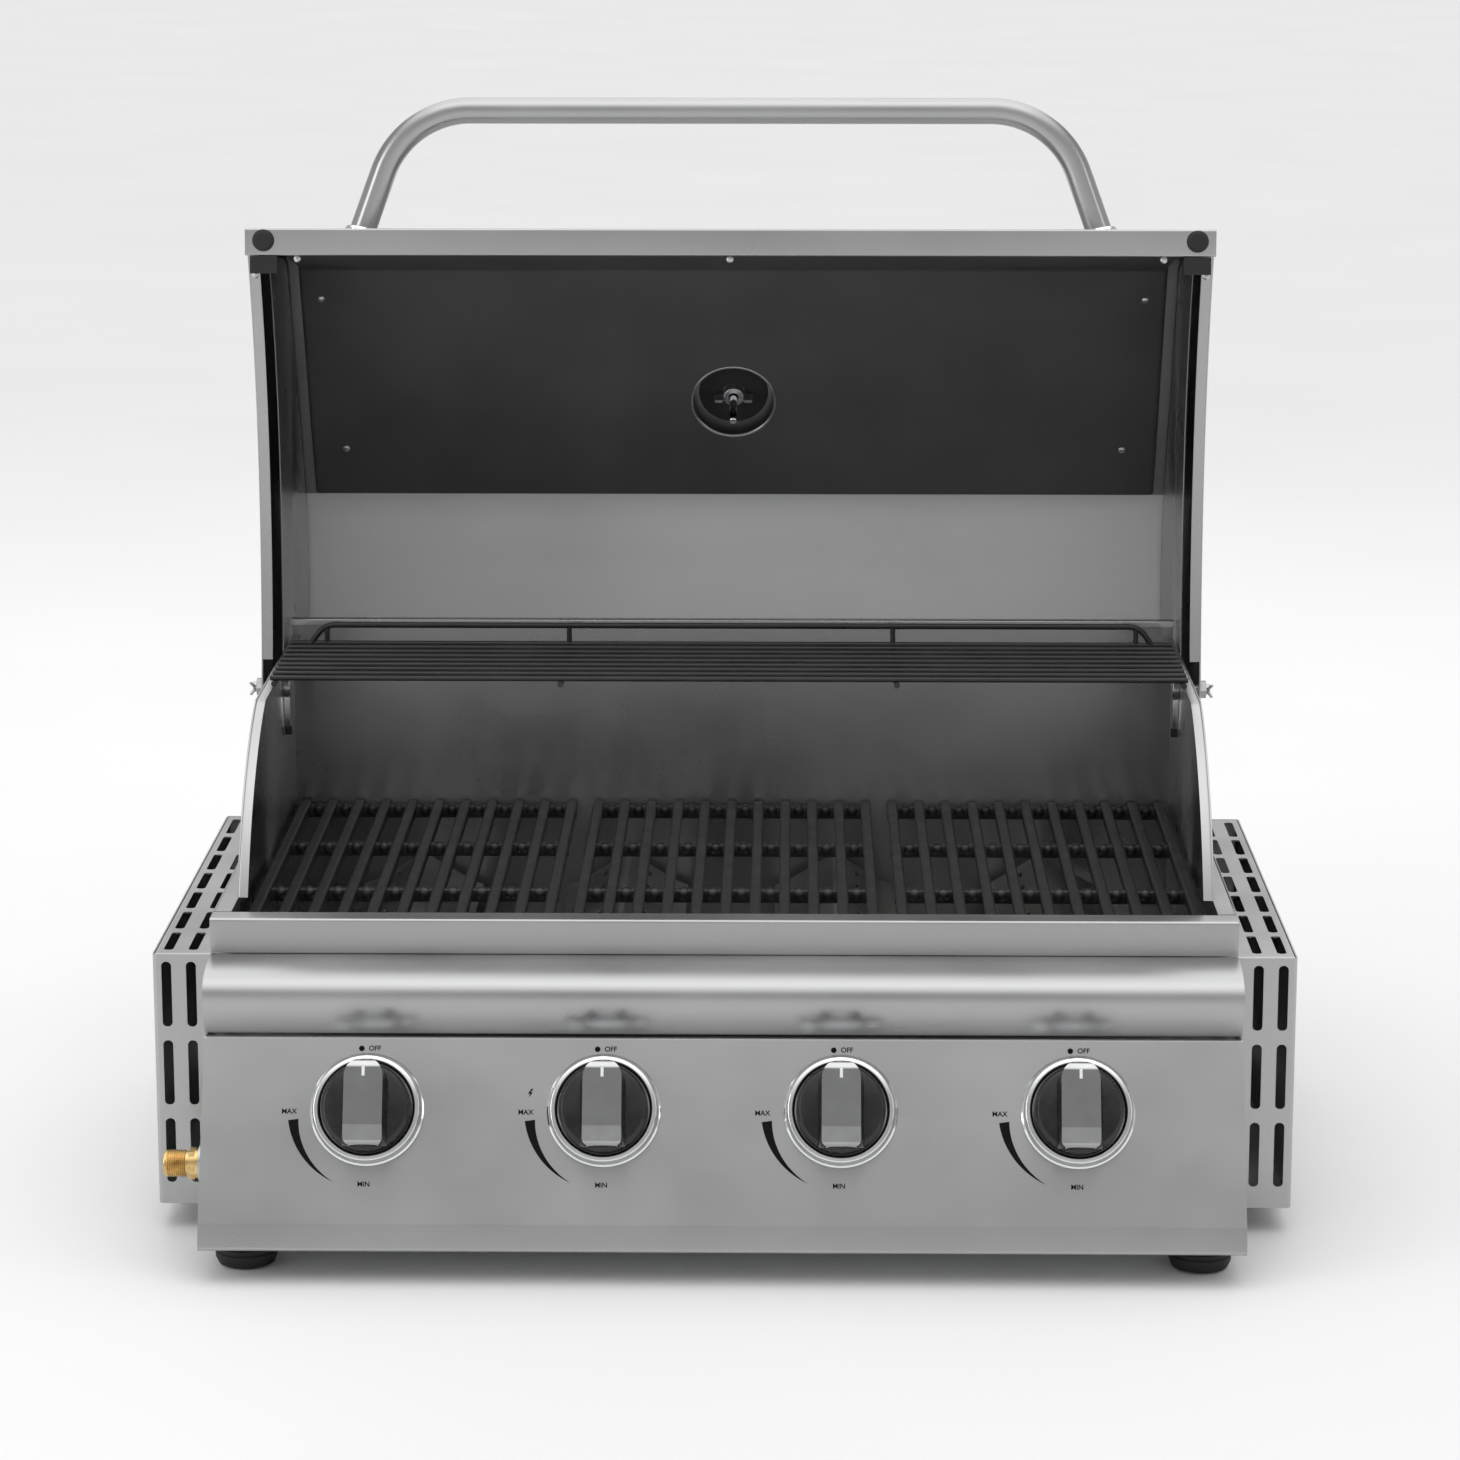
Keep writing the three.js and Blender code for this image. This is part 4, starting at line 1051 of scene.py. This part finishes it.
def thermometer():
    """Dial on the outside of the hood, with its stem and wing nut inside, and a guessed dark gasket that is
    also painted shade inside the liner's hole.
    """
    place = on_slope()
    case = rounded([(0, 0.3), (33, 0.3), (38, 2), (38, 9), (36, 11), (34.4, 10.6), (34, 8.5), (0, 8.5)],
                   1, 1.5, 1.5, 0.8, 0.4, 0.3)
    stem = lathe(rounded([(0, -42), (3, -42), (3, 1), (0, 1)], 1.5, 0.1), 24)
    piece("dial_case", join(lathe(case, 80), stem), "chrome", "hood", ["thermometer"], place, bevel=0)
    face = lathe([(0, 8.4), (33.9, 8.4), (33.9, 8.7), (0, 8.7)], 64)
    piece("dial_face", face, "white", "hood", place=place, bevel=0)
    needle = along_z([(-6, -1.1), (-6, 1.1), (24, 0.35), (24, -0.35)], 9.2, 9.6)
    needle = moved(needle, Matrix.Rotation(math.radians(225), 4, "Z"))
    hub = lathe([(0, 8.6), (2.6, 8.6), (2.2, 10.2), (0, 10.4)], 24)
    marks = join(dial_ticks(), dial_numbers(), needle, hub)
    piece("dial_marks", marks, "print", "hood", place=place, bevel=0)
    nut = lathe(rounded([(4, -9.2), (8, -9.2), (8, -2.3), (4, -2.3)], 0.8, 0.8), 32, loop=True)
    wings = []
    for side in (-1, 1):
        outline = closed_round([(6.4, -8.6), (8, -15), (14.5, -15), (15, -6), (6.4, -3.2)], 1.4)
        wing = along_y(outline, -1.1, 1.1)
        wings.append(mirrored(wing, side))
    piece("dial_nut", join(nut, *wings), "zinc", "hood", ["thermometer_nut"], place, bevel=0.3)
    # Dark disc just inside the skin, seen through the liner's hole: partly a guessed gasket, partly painted
    # shade for the dim inside of the hole.
    gasket_and_shade = lathe([(8.6, -2.2), (27, -2.2), (27, -1.3), (8.6, -1.3)], 48, loop=True)
    piece("dial_gasket", gasket_and_shade, "rubber", "hood", place=place, bevel=0)
    depth = LINER["offset"] + LINER["back"] * math.cos(SLOPE_ANGLE)
    edge = [(LINER["hole"] + 0.2 + 1.3 * math.cos(math.radians(a)), 1.3 * math.sin(math.radians(a)) - depth)
            for a in range(0, 360, 30)]
    piece("liner_hole_edge", lathe(edge, 64, loop=True), "inner_steel", "hood", place=place, bevel=0)


def bumper(side):
    """Rubber buffer on the lip with the square pad that holds it."""
    name = SIDE_NAME[side]
    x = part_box(f"lip_bumper_{name}")
    x = (x[0].x + x[1].x) / 2 / MM
    button = rounded([(0, -2.6), (5.5, -2.6), (8, -1.2), (8, -0.1), (0, -0.1)], 1, 1.2, 0.3)
    place = Matrix.Translation((x, LIP.x + 9, LIP.y))
    pad = box((x - 10, LIP.x + LIP_RETURN + 0.3, LIP.y + 0.2), (x + 10, LIP.x + LIP_RETURN + 13, LIP.y + 6))
    piece(f"bumper_button_{name}", join(moved(lathe(button, 40), place), pad), "rubber", "hood",
          [f"lip_bumper_{name}"], OPEN, bevel=0.3)


def lip_screws():
    down = facing((0, 0, -1))
    spots = [(x, LIP.x + LIP_RETURN + 2.2, LIP.y + 5) for x in (-315, 0, 315)]
    spots += [(side * 347.6, 40, RIM_TOP + 24) for side in (-1, 1)]
    heads = [moved(screw_head(2.8), Matrix.Translation(spot) @ down) for spot in spots]
    piece("lip_screws", join(*heads), "zinc", "hood", place=OPEN, bevel=0)


def liner_screws():
    drop = LINER["offset"] / math.cos(SLOPE_ANGLE) + LINER["back"] + 1
    inward = Vector((0, math.sin(SLOPE_ANGLE), -math.cos(SLOPE_ANGLE)))
    heads = [moved(screw_head(3), Matrix.Translation((side * x, y, slope_height(y) - drop)) @ facing(inward))
             for side in (-1, 1) for x, y in ((315, 60), (304, 178))]
    piece("liner_screws", join(*heads), "zinc", "hood", place=OPEN, bevel=0)


def pivot_bolt(side):
    """Pin through the side plate and the end cap, with a nut and a split pin outside."""
    half = FIREBOX["half"]
    inner = half - SHEET - 0.3
    axis = Matrix.Translation((0, *PIVOT)) @ facing((1, 0, 0))
    tip = HOOD_HALF + 8
    shank = lathe(rounded([(0, inner - 2), (4, inner - 2), (4, tip), (0, tip)], 0.3, 1.2), 32)
    head = lathe(rounded([(0, inner - 5), (7, inner - 5), (7, inner), (0, inner)], 1, 0.2), 32)
    low, high = half + 0.3, HOOD_HALF - 9
    spacer = lathe([(4, low), (6.5, low), (6.5, high), (4, high)], 32, loop=True)
    nut = lathe([(0, HOOD_HALF + 0.3), (7, HOOD_HALF + 0.3), (7, HOOD_HALF + 5), (0, HOOD_HALF + 5)], 6)
    legs = [tube([(HOOD_HALF + 6.6, PIVOT.x, PIVOT.y), (HOOD_HALF + 6.6, PIVOT.x - 5, PIVOT.y + 1.5 * way),
                  (HOOD_HALF + 9, PIVOT.x - 8, PIVOT.y + 4.5 * way)], 1.2, 10) for way in (-1, 1)]
    shape = join(moved(join(shank, head, spacer, nut), axis), *legs)
    name = SIDE_NAME[side]
    piece(f"pivot_pin_{name}", mirrored(shape, side), "zinc", stands_for=[f"pivot_bolt_{name}"], bevel=0.3)


def stop_tab(side):
    """Bright tongue with a dark tip inside the side plate, under the pivot. Its use is a guess."""
    name = SIDE_NAME[side]
    outer = FIREBOX["half"] - SHEET - 0.4
    low, high = PIVOT.y - 30, PIVOT.y - 7
    tongue = box((outer - 4.5, PIVOT.x - 5, low), (outer, PIVOT.x - 3.5, high))
    tip = box((outer - 5.5, PIVOT.x - 5.6, low - 6), (outer - 0.2, PIVOT.x - 2.8, low + 0.5))
    piece(f"stop_tongue_{name}", mirrored(tongue, side), "chrome", bevel=0.4)
    piece(f"stop_tip_{name}", mirrored(tip, side), "rubber", bevel=0.6)


def carried_nodes():
    carry_over("burner_tray", "inner_steel")
    carry_over("base_pan", "zinc")
    carry_over("gas_manifold", "zinc", 0.6)
    for number in range(1, KNOB_COUNT + 1):
        carry_over(f"valve_body_{number}", "brass", 0.5)
        carry_over(f"valve_plug_{number}", "brass", 0.4)


# ------------------------------------------------------------------ camera, light and floor
def camera():
    """The view of a long lens a little above the grill, almost square to its front."""
    data = bpy.data.cameras.new("camera")
    data.sensor_width = 36
    data.lens = 107.2
    obj = bpy.data.objects.new("camera", data)
    obj.location = (0.0443, -3.0899, 0.9866)
    obj.rotation_euler = (math.radians(90 - 12.4), 0, math.radians(0.802))
    bpy.context.scene.collection.objects.link(obj)
    bpy.context.scene.camera = obj


def softbox(name, location, target, size, radiance):
    """A rectangular light of a given brightness that faces a point."""
    data = bpy.data.lights.new(name, "AREA")
    data.shape = "RECTANGLE"
    data.size, data.size_y = size
    data.energy = radiance * math.pi * size[0] * size[1]
    obj = bpy.data.objects.new(name, data)
    obj.location = location
    obj.rotation_euler = (Vector(target) - Vector(location)).to_track_quat("-Z", "Y").to_euler()
    bpy.context.scene.collection.objects.link(obj)


def studio_sky():
    """A pale surround: bright overhead, softer towards the horizon."""
    world = bpy.data.worlds.new("studio")
    world.use_nodes = True
    bpy.context.scene.world = world
    tree = world.node_tree
    background = tree.nodes["Background"]
    direction = add_node(tree, "TexCoord").outputs["Generated"]
    height = add_node(tree, "SeparateXYZ", Vector=direction).outputs["Z"]
    ramp = add_node(tree, "ValToRGB", Fac=height)
    stops = ramp.color_ramp.elements
    levels = [(0.0, 0.6), (0.15, 0.6), (0.4, 0.4), (0.62, 0.45), (0.8, 1.45), (1.0, 1.55)]
    while len(stops) < len(levels):
        stops.new(0.5)
    for stop, (position, level) in zip(stops, levels):
        stop.position = position
        stop.color = (level, level, level, 1)
    tree.links.new(ramp.outputs["Color"], background.inputs["Color"])


def floor():
    """A large plain pale floor."""
    reach = 40
    mesh = bpy.data.meshes.new("floor")
    mesh.from_pydata([(-reach, -reach, 0), (reach, -reach, 0), (reach, reach, 0), (-reach, reach, 0)], [],
                     [(0, 1, 2, 3)])
    material, tree, shader = new_material("floor", (0.86, 0.86, 0.86), 0.0, 0.8)
    cloud = noise(tree, (2, 2, 2), 2)
    tree.links.new(tones(tree, cloud, (0.85, 0.85, 0.85), (0.87, 0.87, 0.87)), shader.inputs["Base Color"])
    shader.inputs["Specular IOR Level"].default_value = 0.1
    mesh.materials.append(material)
    obj = bpy.data.objects.new("floor", mesh)
    bpy.context.scene.collection.objects.link(obj)


def studio():
    camera()
    studio_sky()
    floor()
    softbox("overhead", (0, -0.5, 2.8), (0, 0, 0.3), (2.4, 1.4), 0.5)
    softbox("behind", (0, 1.9, 2.1), (0, 0.2, 0.4), (2.6, 1.5), 0.8)
    softbox("left", (-2.4, -1.4, 1.2), (0, 0, 0.3), (1.0, 1.6), 2.6)
    softbox("right", (2.6, -1.0, 1.2), (0, 0, 0.3), (0.6, 1.4), 1.4)
    bpy.context.scene.view_settings.view_transform = "Standard"


# ------------------------------------------------------------------ assembly
studio()
front_rim()
shoulder()
control_panel()
gas_inlet()
for knob_number in range(1, KNOB_COUNT + 1):
    panel_marks(knob_number)
    bezel(knob_number)
    knob(knob_number)
    burner(knob_number)
    flame_tamer(knob_number)
back_wall()
for grate_index, grate_name in enumerate(("left", "middle", "right")):
    grate(grate_name, grate_index)
warming_rack()
drip_tray()
hood_skin()
hood_liner()
hood_handle()
thermometer()
lip_screws()
liner_screws()
for hand in (-1, 1):
    side_plate(hand)
    vent_box(hand)
    hood_cap(hand)
    inner_wall(hand)
    bumper(hand)
    pivot_bolt(hand)
    stop_tab(hand)
    foot("front", hand)
    foot("rear", hand)
carried_nodes()
